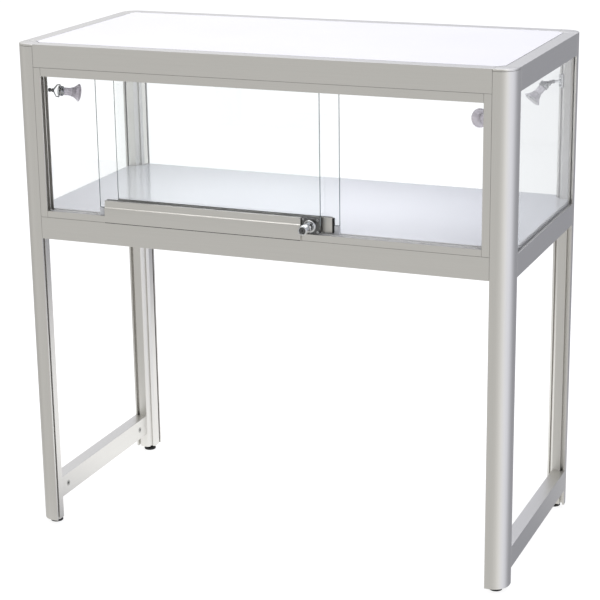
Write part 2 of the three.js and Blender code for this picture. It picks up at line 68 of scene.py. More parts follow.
def move(x=0.0, y=0.0, z=0.0):
    return Matrix.Translation((x, y, z))


def corner_place(corner):
    """Outer corner of a post: its local X and Y both run inwards along the outer faces."""
    low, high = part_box("post_" + corner)
    x = low.x if "left" in corner else high.x
    y = low.y if "front" in corner else high.y
    return move(x, y) @ turn("Z", CORNERS[corner])


# Columns: inwards from the outer face, up, along the bar.
BAR_AXES = Matrix(((0, 0, 1, 0), (1, 0, 0, 0), (0, 1, 0, 0), (0, 0, 0, 1)))


def side_place(side, bottom):
    """Outer lower edge of a rail on one side, at the middle of its length."""
    reach = POST_HIGH.x if side in ("left", "right") else (POST_HIGH.y - POST_LOW.y) / 2
    return move(0, CENTRE_Y) @ turn("Z", SIDES[side]) @ move(0, -reach, bottom) @ BAR_AXES


# ---------------------------------------------------------------- settings
def length(label, description, default):
    return bpy.props.FloatProperty(
        name=label, description=description, default=default, min=0.0, unit="LENGTH"
    )


def angle(label, description, default):
    return bpy.props.FloatProperty(
        name=label, description=description, default=math.radians(default), subtype="ANGLE"
    )


def colour(label, description, default):
    return bpy.props.FloatVectorProperty(
        name=label, description=description, default=default, size=3,
        min=0.0, max=1.0, subtype="COLOR",
    )


class ShowcaseFrameSettings(bpy.types.PropertyGroup):
    post_size: length("Post size", "Width of a corner post over both faces", 0.041)
    post_flat: length("Post flat", "Flat strip beside the rounded corner", 0.010)
    seat_depth: length("Seat depth", "Depth of the rails and of the faces they butt against", 0.027)
    slot_lip: length("Slot lip", "Outer wall of a glazing slot", 0.004)
    slot_width: length("Slot width", "Width of a glazing slot", 0.006)
    post_slot_depth: length("Post slot depth", "Depth of a post's glazing slots", 0.010)
    groove_depth: length("Groove depth", "Depth of a rail's glazing groove", 0.009)
    diagonal_width: length("Diagonal slot width", "Mouth of the slot in the chamfer", 0.006)
    diagonal_depth: length("Diagonal slot depth", "Depth of the slot in the chamfer", 0.005)
    bore_radius: length("Foot bore radius", "Bore in the post for the foot", 0.0065)
    bore_inset: length("Foot bore inset", "Bore axis from the outer faces", 0.025)
    rail_height: length("Rail height", "Height of the rails and stretchers", 0.044)
    ledge_reach: length("Ledge reach", "Reach of the panel ledge", 0.010)
    ledge_thickness: length("Ledge thickness", "Thickness of the panel ledge", 0.0025)
    panel_seat: length("Panel seat", "Top of the frame down to the panel ledge", 0.0103)
    edge_break: length("Edge break", "Size of the softened extrusion edges", 0.0004)
    screw_inset: length("Screw inset", "Lock screw from the rail's end", 0.035)
    screw_radius: length("Screw radius", "Radius of a lock screw's head", 0.0052)


class ShowcaseDoorSettings(bpy.types.PropertyGroup):
    track_wall: length("Track wall", "Wall of the door tracks and jambs", 0.002)
    channel: length("Channel", "Clear width of one door channel", 0.0105)
    face_reach: length("Pull face reach", "Pull rail in front of the frame", 0.005)
    grip_recess: length("Grip recess", "Depth of the finger grip", 0.0025)
    grip_height: length("Grip height", "Height of the finger grip", 0.015)
    skirt_drop: length("Skirt drop", "Skirt below the track's top", 0.0115)
    skirt_thickness: length("Skirt thickness", "Thickness of the pull rail's skirt", 0.0035)
    rail_top: length("Door rail top", "Top of the door rails over the track", 0.031)
    rail_lift: length("Door rail lift", "Underside of the door rails over the track", 0.002)
    pocket_depth: length("Glass pocket", "Depth of the pane in its rail", 0.0153)
    lock_width: length("Lock width", "Width of the lock body", 0.036)
    barrel_radius: length("Barrel radius", "Radius of the lock's plunger", 0.009)
    core_radius: length("Core radius", "Radius of the keyed core", 0.006)


class ShowcaseLampSettings(bpy.types.PropertyGroup):
    height: length("Lamp height", "Height of the lamp pivots", 0.904)
    ball_reach: length("Ball reach", "Post chamfer to the ball", 0.0198)
    trunnion_reach: length("Trunnion reach", "Ball to the trunnion", 0.018)
    ball_radius: length("Ball radius", "Radius of the swivel ball", 0.004)
    drum_radius: length("Socket radius", "Radius of the lamp socket", 0.010)
    neck_radius: length("Neck radius", "Radius of the lamp's neck", 0.0075)
    reflector_radius: length("Reflector radius", "Radius of the reflector's rim", 0.0175)
    droop: angle("Droop", "How far the fork's axis points down", 10.0)


class ShowcaseFinishSettings(bpy.types.PropertyGroup):
    aluminium: colour("Aluminium", "Anodised extrusions", (0.745, 0.735, 0.705))
    chrome: colour("Chrome", "Lock and lamp fittings", (0.66, 0.67, 0.68))
    glass: colour("Glass", "Body of the panes", (0.985, 0.995, 0.992))
    glass_edge: colour("Glass edge", "Ground edges of the panes", (0.16, 0.20, 0.21))
    top_board: colour("Top board", "Laminate of the counter top", (0.90, 0.89, 0.92))
    deck_board: colour("Deck board", "Laminate of the deck", (0.84, 0.855, 0.90))
    rubber: colour("Rubber", "Pads, bumpers and gaskets", (0.012, 0.012, 0.013))
    nylon: colour("Nylon", "Door glides", (0.56, 0.57, 0.60))
    zinc: colour("Zinc", "Studs, inserts and screws", (0.42, 0.42, 0.40))
    lamp: colour("Lamp glass", "Coated glass of the lamps", (0.85, 0.81, 0.87))


class ShowcaseStageSettings(bpy.types.PropertyGroup):
    camera_place: bpy.props.FloatVectorProperty(
        name="Camera place", description="Where the camera stands",
        default=(1.36508, -3.32825, 1.55255), size=3, subtype="TRANSLATION",
    )
    yaw: angle("Camera yaw", "Camera's turn to the left", 22.31)
    pitch: angle("Camera pitch", "Camera's angle below the horizon", 16.74)
    roll: angle("Camera roll", "Camera's lean", -0.80)
    lens: bpy.props.FloatProperty(
        name="Lens", description="Focal length in millimetres on a 36 mm sensor", default=111.65
    )
    floor_size: length("Floor size", "Half width of the floor", 40.0)
    sweep_size: length("Sweep size", "Radius of the bright sweep", 1.1)


SETTINGS = {
    "showcase_frame": ShowcaseFrameSettings,
    "showcase_doors": ShowcaseDoorSettings,
    "showcase_lamps": ShowcaseLampSettings,
    "showcase_finish": ShowcaseFinishSettings,
    "showcase_stage": ShowcaseStageSettings,
}


# ---------------------------------------------------------------- shader nodes and groups
def make_node(tree, kind, inputs, **settings):
    """A new node whose inputs are set to values or linked from other nodes' sockets."""
    node = tree.nodes.new(kind)
    for name, value in settings.items():
        setattr(node, name, value)
    for key, value in inputs.items():
        if isinstance(value, bpy.types.NodeSocket):
            tree.links.new(value, node.inputs[key])
        else:
            node.inputs[key].default_value = value
    return node


def math_node(tree, operation, first, second):
    return make_node(tree, "ShaderNodeMath", {0: first, 1: second}, operation=operation).outputs[0]


def vector_node(tree, operation, inputs):
    return make_node(tree, "ShaderNodeVectorMath", inputs, operation=operation)


def noise_node(tree, vector, scale, detail):
    inputs = {"Vector": vector, "Scale": scale, "Detail": detail, "Roughness": 0.55}
    return make_node(tree, "ShaderNodeTexNoise", inputs).outputs["Fac"]


def map_range(tree, value, low, high, start=0.0, end=1.0, curve="LINEAR"):
    """Carries a value between start and end over to low and high."""
    inputs = {"Value": value, "From Min": start, "From Max": end, "To Min": low, "To Max": high}
    node = make_node(tree, "ShaderNodeMapRange", inputs, interpolation_type=curve)
    return node.outputs["Result"]


def mix_colours(tree, mask, dark, light):
    inputs = {0: mask, 6: (*dark, 1), 7: (*light, 1)}
    return make_node(tree, "ShaderNodeMix", inputs, data_type="RGBA").outputs[2]


def new_group(name, inputs, outputs):
    """A new shader group with its sockets, and its input and output nodes."""
    group = bpy.data.node_groups.new(name, "ShaderNodeTree")
    for label, kind, default in inputs:
        socket = group.interface.new_socket(name=label, in_out="INPUT", socket_type=kind)
        socket.default_value = default
    for label in outputs:
        group.interface.new_socket(name=label, in_out="OUTPUT", socket_type="NodeSocketFloat")
    given = group.nodes.new("NodeGroupInput").outputs
    return group, given, group.nodes.new("NodeGroupOutput").inputs


def make_die_lines(name):
    """Fine lines drawn along an extrusion, with soft cloudy handling marks over them."""
    group, given, made = new_group(
        name,
        [
            ("Vector", "NodeSocketVector", (0, 0, 0)),
            ("Stretch", "NodeSocketVector", (1, 1, 1)),
            ("Line depth", "NodeSocketFloat", 0.5),
            ("Smudge", "NodeSocketFloat", 0.5),
        ],
        ["Height", "Tone", "Haze"],
    )
    stretched = vector_node(group, "MULTIPLY", {0: given["Vector"], 1: given["Stretch"]})
    lines, clouds, specks = (
        math_node(group, "SUBTRACT", noise_node(group, vector, scale, detail), 0.5)
        for vector, scale, detail in (
            (stretched.outputs[0], 900.0, 2.0), (given["Vector"], 9.0, 4.0),
            (given["Vector"], 2200.0, 1.0),
        )
    )
    deep = math_node(group, "MULTIPLY", lines, given["Line depth"])
    fine = math_node(group, "MULTIPLY", specks, 0.25)
    group.links.new(math_node(group, "ADD", deep, fine), made["Height"])
    tone = math_node(group, "MULTIPLY", lines, 0.6)
    group.links.new(math_node(group, "ADD", tone, 0.5), made["Tone"])
    group.links.new(math_node(group, "MULTIPLY", clouds, given["Smudge"]), made["Haze"])
    return group


def make_surface_grain(name):
    """Even fine grain for mouldings, boards and rubber, with slow colour drift."""
    group, given, made = new_group(
        name,
        [
            ("Vector", "NodeSocketVector", (0, 0, 0)),
            ("Grain scale", "NodeSocketFloat", 900.0),
            ("Drift scale", "NodeSocketFloat", 6.0),
        ],
        ["Height", "Drift"],
    )
    grain = noise_node(group, given["Vector"], given["Grain scale"], 3.0)
    drift = noise_node(group, given["Vector"], given["Drift scale"], 4.0)
    group.links.new(grain, made["Height"])
    group.links.new(drift, made["Drift"])
    return group


GROUP_MAKERS = {"Die lines": make_die_lines, "Surface grain": make_surface_grain}


def place_group(tree, name, inputs):
    """One of the shared groups, built the first time it is placed."""
    group = bpy.data.node_groups.get(name) or GROUP_MAKERS[name](name)
    return make_node(tree, "ShaderNodeGroup", inputs, node_tree=group).outputs


# ---------------------------------------------------------------- finishes
GLASS_INDEX = 1.46


def new_material(name, sockets):
    """A new material, its nodes, its shader and the place on the piece that patterns follow."""
    material = bpy.data.materials.new(name)
    material.use_nodes = True
    tree = material.node_tree
    shader = tree.nodes["Principled BSDF"].inputs
    for label, value in sockets.items():
        shader[label].default_value = value
    return material, tree, shader, make_node(tree, "ShaderNodeTexCoord", {}).outputs["Object"]


def wear(tree, shader, mask, base, shades, roughness, roughness_mask=None):
    """Colour and roughness that drift with a mask."""
    dark, light = ([min(1.0, c * shade) for c in base] for shade in shades)
    tree.links.new(mix_colours(tree, mask, dark, light), shader["Base Color"])
    drift = mask if roughness_mask is None else roughness_mask
    tree.links.new(map_range(tree, drift, *roughness), shader["Roughness"])


def bump(tree, shader, height, strength, distance):
    inputs = {"Height": height, "Strength": strength, "Distance": distance}
    node = make_node(tree, "ShaderNodeBump", inputs)
    tree.links.new(node.outputs["Normal"], shader["Normal"])


def aluminium(direction, base):
    """Satin anodised extrusion whose die lines run along X, Y or Z."""
    material, tree, shader, vector = new_material("anodised_along_" + direction, {"Metallic": 1.0})
    stretch = tuple(0.01 if axis == direction else 1.0 for axis in "xyz")
    lines = place_group(
        tree, "Die lines",
        {"Vector": vector, "Stretch": stretch, "Line depth": 1.0, "Smudge": 0.22},
    )
    haze = math_node(tree, "ADD", lines["Haze"], 0.5)
    wear(tree, shader, lines["Tone"], base, (0.94, 1.06), roughness=(0.27, 0.47),
         roughness_mask=haze)
    bump(tree, shader, lines["Height"], 0.10, 0.00012)
    return material


def grained(name, base, shades, roughness, scales, relief, sockets):
    """A material with fine grain whose colour and gloss drift slowly over the surface.

    The scales are the grain's and the drift's. The relief is the bump's strength and depth.
    """
    material, tree, shader, vector = new_material(name, sockets)
    inputs = {"Vector": vector, "Grain scale": scales[0], "Drift scale": scales[1]}
    skin = place_group(tree, "Surface grain", inputs)
    wear(tree, shader, skin["Drift"], base, shades, roughness)
    bump(tree, shader, skin["Height"], *relief)
    return material


def chrome(name, base, shade):
    """Polished chrome. A shade under 1 darkens its colour, partly as darker plating and partly as
    painted shade for the dark surroundings the chrome would mirror.
    """
    base = [c * shade for c in base]
    return grained(
        name, base, shades=(0.93, 1.0), roughness=(0.03, 0.12), scales=(700.0, 55.0),
        relief=(0.03, 0.00005), sockets={"Metallic": 1.0},
    )


def ground_edge(name, base):
    """Ground and polished edge of a pane, green-grey and slightly uneven."""
    return grained(
        name, base, shades=(0.75, 1.35), roughness=(0.12, 0.30), scales=(500.0, 30.0),
        relief=(0.08, 0.0001), sockets={},
    )


def laminate(name, base, rough, coat):
    """Laminated board with a faint orange-peel skin and a clear gloss."""
    return grained(
        name, base, shades=(0.965, 1.03), roughness=(rough * 0.8, rough * 1.25),
        scales=(260.0, 3.0), relief=(0.05, 0.0002),
        sockets={"Coat Weight": coat, "Coat Roughness": 0.06},
    )


def moulding(name, base, rough, grain, strength):
    """Moulded rubber, vinyl or nylon, and the black of the painted shadow in keyways and screw
    sockets.
    """
    return grained(
        name, base, shades=(0.8, 1.25), roughness=(rough * 0.85, rough * 1.2),
        scales=(grain, 45.0), relief=(strength, 0.0002), sockets={},
    )


def lamp_glass(name, tint, transmission, rough):
    """Coated or frosted lamp glass."""
    return grained(
        name, tint, shades=(0.85, 1.12), roughness=(rough * 0.7, rough * 1.3),
        scales=(600.0, 90.0), relief=(0.05, 0.0001),
        sockets={"Transmission Weight": transmission, "IOR": GLASS_INDEX},
    )


def float_glass(name, tint):
    """Clear float glass with faint wiping marks."""
    material, tree, shader, vector = new_material(
        name, {"Base Color": (*tint, 1), "Transmission Weight": 1.0, "IOR": GLASS_INDEX}
    )
    inputs = {"Vector": vector, "Grain scale": 40.0, "Drift scale": 7.0}
    marks = place_group(tree, "Surface grain", inputs)
    tree.links.new(map_range(tree, marks["Drift"], 0.0, 0.012), shader["Roughness"])
    return material


def zinc_plate(name, base):
    """Zinc-plated steel with a faint spangle."""
    material, tree, shader, vector = new_material(name, {"Metallic": 0.95})
    inputs = {"Vector": vector, "Scale": 420.0}
    spangle = make_node(tree, "ShaderNodeTexVoronoi", inputs).outputs["Distance"]
    wear(tree, shader, spangle, base, shades=(0.8, 1.25), roughness=(0.24, 0.42))
    return material


MADE = {}  # finish: its material


def material_for(finish):
    """The material of a finish, made the first time it is asked for."""
    if finish not in MADE:
        s = bpy.context.scene.showcase_finish
        maker, *values = {
            "aluminium_x": (aluminium, "x", s.aluminium),
            "aluminium_y": (aluminium, "y", s.aluminium),
            "aluminium_z": (aluminium, "z", s.aluminium),
            "chrome": (chrome, "polished_chrome", s.chrome, 1.0),
            # The two darkened chromes are partly darker plating and partly painted shade: their
            # colour stands in for the dark surroundings that the lock and lamp fittings mirror.
            "grey_chrome": (chrome, "grey_chrome", s.chrome, 0.5),
            "dark_chrome": (chrome, "dark_chrome", s.chrome, 0.22),
            "zinc": (zinc_plate, "zinc_plate", s.zinc),
            "glass": (float_glass, "float_glass", s.glass),
            "glass_edge": (ground_edge, "ground_glass_edge", s.glass_edge),
            "lamp_neck": (lamp_glass, "frosted_lamp_neck", s.lamp, 0.35, 0.42),
            "reflector": (lamp_glass, "coated_reflector", s.lamp, 0.5, 0.10),
            "lamp_cover": (lamp_glass, "clear_lamp_cover", (0.97, 0.97, 0.98), 1.0, 0.02),
            "top_board": (laminate, "counter_laminate", s.top_board, 0.30, 0.4),
            "deck_board": (laminate, "deck_laminate", s.deck_board, 0.16, 0.7),
            "edge_band": (moulding, "board_edge_band", (0.20, 0.20, 0.21), 0.40, 500.0, 0.10),
            "rubber": (moulding, "black_rubber", s.rubber, 0.62, 900.0, 0.25),
            "vinyl": (moulding, "grey_vinyl", [c + 0.30 for c in s.rubber], 0.45, 500.0, 0.12),
            "liner": (moulding, "track_liner", (0.84, 0.84, 0.86), 0.35, 700.0, 0.08),
            "nylon": (moulding, "white_nylon", s.nylon, 0.42, 700.0, 0.10),
            "keyway": (moulding, "keyway_shadow", (0.004, 0.004, 0.004), 0.7, 800.0, 0.2),
        }[finish]
        MADE[finish] = maker(*values)
    return MADE[finish]


# ---------------------------------------------------------------- mesh tools
def soften(part, size, segments=2, sharper_than=28.0):
    """Rounds every edge of a part that is sharper than the angle."""
    part.normal_update()
    limit = math.radians(sharper_than)
    edges = [e for e in part.edges if len(e.link_faces) == 2 and e.calc_face_angle() > limit]
    bmesh.ops.bevel(
        part, geom=edges, offset=size, offset_type="OFFSET", segments=segments, profile=0.5,
        affect="EDGES", clamp_overlap=True, material=-1,
    )
    return part


def add_circle(part, radius, steps, place=Matrix(), filled=False):
    bmesh.ops.create_circle(part, cap_ends=filled, segments=steps, radius=radius, matrix=place)


def fill_between(part):
    """Fills a flat outline, with its holes left open."""
    bmesh.ops.triangle_fill(part, use_beauty=True, use_dissolve=False, edges=part.edges[:])


def pull_up(part, high):
    """Pulls a flat part up along Z into a solid."""
    pulled = bmesh.ops.extrude_face_region(part, geom=part.faces[:])
    top = [v for v in pulled["geom"] if isinstance(v, bmesh.types.BMVert)]
    bmesh.ops.translate(part, verts=top, vec=(0, 0, high))
    bmesh.ops.recalc_face_normals(part, faces=part.faces[:])
    return part


def bar(outline, long, round_size=0.0, hole=None):
    """A section in XY, pulled along +Z. Its first corner may be rounded, and it may be bored."""
    part = bmesh.new()
    corners = [part.verts.new((x, y, 0)) for x, y in outline]
    part.faces.new(corners)
    if round_size:
        bmesh.ops.bevel(
            part, geom=corners[:1], offset=round_size, offset_type="OFFSET", segments=20,
            profile=0.5, affect="VERTICES", clamp_overlap=True, material=-1,
        )
    if hole:
        x, y, radius = hole
        bmesh.ops.delete(part, geom=part.faces[:], context="FACES_ONLY")
        add_circle(part, radius, 32, move(x, y))
        fill_between(part)
    return pull_up(part, long)


def centred_bar(outline, long):
    part = bar(outline, long)
    bmesh.ops.translate(part, verts=part.verts[:], vec=(0, 0, -long / 2))
    return part


def block(low, high):
    """A box between two corners."""
    part = bmesh.new()
    low, high = Vector(low), Vector(high)
    place = move(*((low + high) / 2)) @ Matrix.Diagonal((*(high - low), 1.0))
    bmesh.ops.create_cube(part, size=1.0, matrix=place)
    return part


def turned(profile, steps=32):
    """A profile of (radius, height) spun about Z. It starts and ends on the axis, or is a ring."""
    part = bmesh.new()
    points = [part.verts.new((radius, 0, height)) for radius, height in profile]
    edges = [part.edges.new(pair) for pair in zip(points, points[1:])]
    if profile[0][0] > 0:
        edges.append(part.edges.new((points[-1], points[0])))
    bmesh.ops.spin(
        part, geom=points + edges, cent=(0, 0, 0), axis=(0, 0, 1), angle=2 * math.pi,
        steps=steps, use_merge=True, use_duplicate=False,
    )
    bmesh.ops.remove_doubles(part, verts=part.verts[:], dist=1e-6)
    bmesh.ops.recalc_face_normals(part, faces=part.faces[:])
    return part


def pierced_disc(radius, high, steps, hole_radius, hole_steps, hole_place=Matrix()):
    """A disc with a hole through it; its underside is at 0."""
    part = bmesh.new()
    add_circle(part, radius, steps)
    add_circle(part, hole_radius, hole_steps, hole_place)
    fill_between(part)
    return pull_up(part, high)


def hex_screw(radius, proud, socket_radius, steps=28):
    """A round screw head with a six-sided socket, facing +Z."""
    return soften(pierced_disc(radius, proud, steps, socket_radius, 6), proud * 0.25)


class Piece:
    """One visible piece: its parts are joined into one mesh that rides on a CAD body."""

    def __init__(self, name, body="frame"):
        self.name = name
        self.body = body
        self.bm = bmesh.new()
        self.materials = []

    def index(self, finish):
        material = material_for(finish)
        if material not in self.materials:
            self.materials.append(material)
        return self.materials.index(material)

    def add(self, part, finish, place=Matrix(), edges=None, thin_axis=2):
        """Joins a part. The narrow faces of a pane or board may have a finish of their own."""
        bmesh.ops.transform(part, matrix=place, verts=part.verts[:])
        if place.determinant() < 0:
            bmesh.ops.reverse_faces(part, faces=part.faces[:])
        part.normal_update()
        wide = self.index(finish)
        narrow = self.index(edges) if edges else wide
        for face in part.faces:
            flat = abs(face.normal[thin_axis]) > 0.95
            face.material_index = wide if flat else narrow
        carrier = bpy.data.meshes.new("carrier")
        part.to_mesh(carrier)
        part.free()
        self.bm.from_mesh(carrier)
        bpy.data.meshes.remove(carrier)
        return self

    def done(self, slot, replaces=(), smooth_below=20.0):
        if any(not edge.is_manifold for edge in self.bm.edges):
            raise RuntimeError(self.name + " has an open or doubled edge")
        mesh = bpy.data.meshes.new(self.name)
        self.bm.to_mesh(mesh)
        self.bm.free()
        for material in self.materials:
            mesh.materials.append(material)
        mesh.shade_smooth()
        mesh.set_sharp_from_angle(angle=math.radians(smooth_below))
        piece = bpy.data.objects.new(self.name, mesh)
        bpy.context.scene.collection.objects.link(piece)
        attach(piece, self.body)
        if replaces:
            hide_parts(*replaces)
        return piece


def along(side):
    return "aluminium_y" if side in ("left", "right") else "aluminium_x"


# ---------------------------------------------------------------- operators: frame
SLIP = 0.0003  # what keeps a board or the keyed core clear of its neighbours
TRACK_BREAK = 0.0003  # softened edges of the tracks and jambs
FINE_BREAK = 0.0004  # softened edges of panes and small fittings
TOUCH = 0.00003  # what keeps a strip off the face it lies against
HALF_POCKET = 0.0024  # half the width of a pocket that a pane sits in
HALF_RAIL = 0.0037  # half the thickness of a door rail


def extrusion(name, part, finish, place, node):
    """An aluminium piece of the frame that stands for one CAD node."""
    Piece(name).add(part, finish, place).done("anodised_aluminium", [node])


def pane(name, part, node, body="frame", place=Matrix(), thin_axis=1):
    """A glass pane with softened, ground edges."""
    piece = Piece(name, body)
    piece.add(soften(part, FINE_BREAK), "glass", place, "glass_edge", thin_axis)
    piece.done("clear_glass", [node])


class SHOWCASE_OT_posts(bpy.types.Operator):
    """Corner posts with their glazing slots, and the caps on top"""

    bl_idname = "showcase.posts"
    bl_label = "Posts and caps"

    def post_outline(self, s):
        middle = (s.post_size + s.seat_depth) / 2
        across = math.sqrt(0.5) * s.diagonal_width / 2
        into = math.sqrt(0.5) * s.diagonal_depth
        near, far = s.slot_lip, s.slot_lip + s.slot_width
        floor = s.post_size - s.post_slot_depth
        half = [
            (s.post_size, 0), (s.post_size, near), (floor, near), (floor, far),
            (s.post_size, far), (s.post_size, s.seat_depth), (middle + across, middle - across),
            (middle + across - into, middle - across - into),
        ]
        return [(0, 0)] + half + [(y, x) for x, y in reversed(half)]

    def execute(self, context):
        s = context.scene.showcase_frame
        radius = s.post_size - s.post_flat
        outline = self.post_outline(s)
        cap = [(0, 0), (s.post_size, 0), (s.post_size, s.seat_depth),
               (s.seat_depth, s.post_size), (0, s.post_size)]
        bore = (s.bore_inset, s.bore_inset, s.bore_radius)
        for corner in CORNERS:
            low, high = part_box("post_" + corner)
            place = corner_place(corner)
            post = bar(outline, high.z - low.z, radius, bore)
            extrusion("corner_post_" + corner, soften(post, s.edge_break), "aluminium_z",
                      place @ move(z=low.z), "post_" + corner)
            low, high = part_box("post_cap_" + corner)
            lid = soften(bar(cap, high.z - low.z, radius), 0.0007, 3)
            extrusion("corner_cap_" + corner, lid, "aluminium_x", place @ move(z=low.z),
                      "post_cap_" + corner)
        return {"FINISHED"}


class SHOWCASE_OT_rails(bpy.types.Operator):
    """Top rails, deck rails and stretchers, with the lock screws in their inner faces"""

    bl_idname = "showcase.rails"
    bl_label = "Rails and stretchers"

    def grooved(self, s, ledge_top):
        near, far = s.slot_lip, s.slot_lip + s.slot_width
        high, deep = s.rail_height, s.seat_depth
        ledge = ledge_top - s.ledge_thickness
        points = [(0, 0), (deep, 0), (deep, ledge), (deep + s.ledge_reach, ledge),
                  (deep + s.ledge_reach, ledge_top)]
        if ledge_top < high:
            points += [(deep, ledge_top), (deep, high)]
        return points + [(far, high), (far, high - s.groove_depth), (near, high - s.groove_depth),
                         (near, high), (0, high)]

    def rail(self, s, name, side, outline):
        low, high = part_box(name + "_" + side)
        horizontal = max(high.x - low.x, high.y - low.y)
        place = side_place(side, low.z)
        part = soften(centred_bar(outline, horizontal), s.edge_break)
        shown = name.replace("rail", "bar").replace("stretcher", "foot_bar") + "_" + side
        extrusion(shown, part, along(side), place, name + "_" + side)
        self.screws(s, name, side, horizontal, place)

    def screws(self, s, name, side, horizontal, place):
        """Socket screws of the rail's two end locks, on its inner face."""
        piece = Piece("lock_screws_" + name + "_" + side)
        r = s.screw_radius
        socket = r * 0.5
        for sign in (-1, 1):
            spot = place @ move(s.seat_depth - 0.0001, s.rail_height / 2,
                                sign * (horizontal / 2 - s.screw_inset)) @ turn("Y", 90)
            ring = turned([(r, 0), (r + 0.0012, 0), (r + 0.0010, 0.0003), (r, 0.0004)])
            piece.add(ring, "zinc", spot)
            piece.add(hex_screw(r * 0.86, 0.0008, socket), "zinc", spot)
            # A black disc at the bottom of the socket is painted shadow.
            painted_socket_shadow = turned([(0, 0.0001), (socket, 0.0001), (socket, 0.00012), (0, 0.00012)])
            piece.add(painted_socket_shadow, "keyway", spot)
        piece.done("zinc_plated_steel")

    def execute(self, context):
        s = context.scene.showcase_frame
        upright = self.grooved(s, s.panel_seat + s.ledge_thickness)
        top = [(x, s.rail_height - y) for x, y in reversed(upright)]
        deck = self.grooved(s, s.rail_height)
        foot = [(0, 0), (s.seat_depth, 0), (s.seat_depth, s.rail_height), (0, s.rail_height)]
        for side in SIDES:
            self.rail(s, "top_rail", side, top)
            self.rail(s, "deck_rail", side, deck)
        for side in ("left", "right"):
            self.rail(s, "stretcher", side, foot)
        return {"FINISHED"}


class SHOWCASE_OT_feet(bpy.types.Operator):
    """Levelling feet with their studs and nuts, and the threaded inserts in the posts"""

    bl_idname = "showcase.feet"
    bl_label = "Levelling feet"

    PITCH, THREAD_DEPTH, STUD_RADIUS = 0.00125, 0.0005, 0.004
    PAD_TOP, NUT_RADIUS, NUT_HEIGHT = 0.0052, 0.0078, 0.0033

    def stud_profile(self, bottom, top):
        """A stack of ridges as high as the thread's pitch."""
        crest, root = self.STUD_RADIUS, self.STUD_RADIUS - self.THREAD_DEPTH
        points = [(0, bottom), (root, bottom)]
        for i in range(int((top - bottom) / self.PITCH) - 1):
            z = bottom + self.PITCH * (i + 0.5)
            points += [(crest, z + self.PITCH * 0.35), (crest, z + self.PITCH * 0.5),
                       (root, z + self.PITCH * 0.9)]
        return points + [(root, top), (0, top)]

    def execute(self, context):
        for corner in CORNERS:
            low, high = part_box("levelling_foot_" + corner)
            centre = move((low.x + high.x) / 2, (low.y + high.y) / 2)
            radius = (high.x - low.x) / 2
            foot = Piece("screw_foot_" + corner, "foot_" + corner)
            pad = turned([
                (0, 0.0006), (radius * 0.62, 0.0006), (radius * 0.68, 0), (radius - 0.0014, 0),
                (radius - 0.0004, 0.0005), (radius, 0.0016), (radius - 0.0002, 0.0034),
                (radius - 0.0012, 0.0046), (radius - 0.0030, 0.0050),
                (self.NUT_RADIUS, self.PAD_TOP), (0, self.PAD_TOP),
            ], 48)
            foot.add(pad, "rubber", centre)
            nut = bmesh.new()
            add_circle(nut, self.NUT_RADIUS, 6, filled=True)
            nut = soften(pull_up(nut, self.NUT_HEIGHT), FINE_BREAK)
            foot.add(nut, "rubber", centre @ move(z=self.PAD_TOP + 0.0001))
            foot.add(turned(self.stud_profile(self.PAD_TOP, high.z), 24), "zinc", centre)
            foot.done("black_rubber", ["levelling_foot_" + corner], 32.0)
            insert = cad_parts["foot_insert_" + corner]
            insert.data.materials.clear()
            insert.data.materials.append(material_for("zinc"))
        return {"FINISHED"}


class SHOWCASE_OT_panels(bpy.types.Operator):
    """Counter top and deck boards"""

    bl_idname = "showcase.panels"
    bl_label = "Top and deck"

    def execute(self, context):
        s = context.scene.showcase_frame
        low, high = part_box("top_panel")
        notch = s.post_size - s.seat_depth
        top = [(low.x, low.y + notch), (low.x + notch, low.y), (high.x - notch, low.y),
               (high.x, low.y + notch), (high.x, high.y - notch), (high.x - notch, high.y),
               (low.x + notch, high.y), (low.x, high.y - notch)]
        board = soften(bar(top, high.z - low.z), 0.0012)
        piece = Piece("counter_board").add(board, "top_board", move(z=low.z), "edge_band")
        piece.done("white_board", ["top_panel"])
        low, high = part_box("deck_panel")
        seat_gap, post_gap = s.seat_depth + SLIP, s.post_size + SLIP
        side, seat = abs(POST_LOW.x) - post_gap, abs(POST_LOW.x) - seat_gap
        near, front = POST_LOW.y + seat_gap, POST_LOW.y + post_gap
        rear, rear_seat = POST_HIGH.y - post_gap, POST_HIGH.y - seat_gap
        half = [(side, near), (seat, front), (high.x, front), (high.x, rear), (seat, rear),
                (side, rear_seat), (side, high.y)]
        deck = half + [(-x, y) for x, y in reversed(half)]
        board = soften(bar(deck, high.z - low.z), 0.0009)
        piece = Piece("deck_board").add(board, "deck_board", move(z=low.z), "edge_band")
        piece.done("deck_board", ["deck_panel"])
        return {"FINISHED"}


class SHOWCASE_OT_fixed_glass(bpy.types.Operator):
    """Left, right and rear panes with their vinyl glazing strips"""

    bl_idname = "showcase.fixed_glass"
    bl_label = "Fixed glass"

    STRIP_THICKNESS, STRIP_HEIGHT, STRIP_INSET = 0.00042, 0.0038, 0.0083

    def execute(self, context):
        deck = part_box("deck_rail_rear")[1].z
        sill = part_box("top_rail_rear")[0].z
        for side in ("left", "right", "rear"):
            low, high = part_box("glass_" + side)
            thin = 1 if side == "rear" else 0
            pane("fixed_pane_" + side, block(low, high), "glass_" + side, thin_axis=thin)
            strips = Piece("glazing_strip_" + side)
            wide = 1 - thin
            ends = (low[wide] + self.STRIP_INSET, high[wide] - self.STRIP_INSET)
            for face in (low[thin] - self.STRIP_THICKNESS - TOUCH, high[thin] + TOUCH):
                for z in (deck - 0.003, sill - 0.0008):
                    a, b = [0, 0, z], [0, 0, z + self.STRIP_HEIGHT]
                    a[thin], b[thin] = face, face + self.STRIP_THICKNESS
                    a[wide], b[wide] = ends
                    strips.add(block(a, b), "vinyl")
            strips.done("black_rubber")
        return {"FINISHED"}


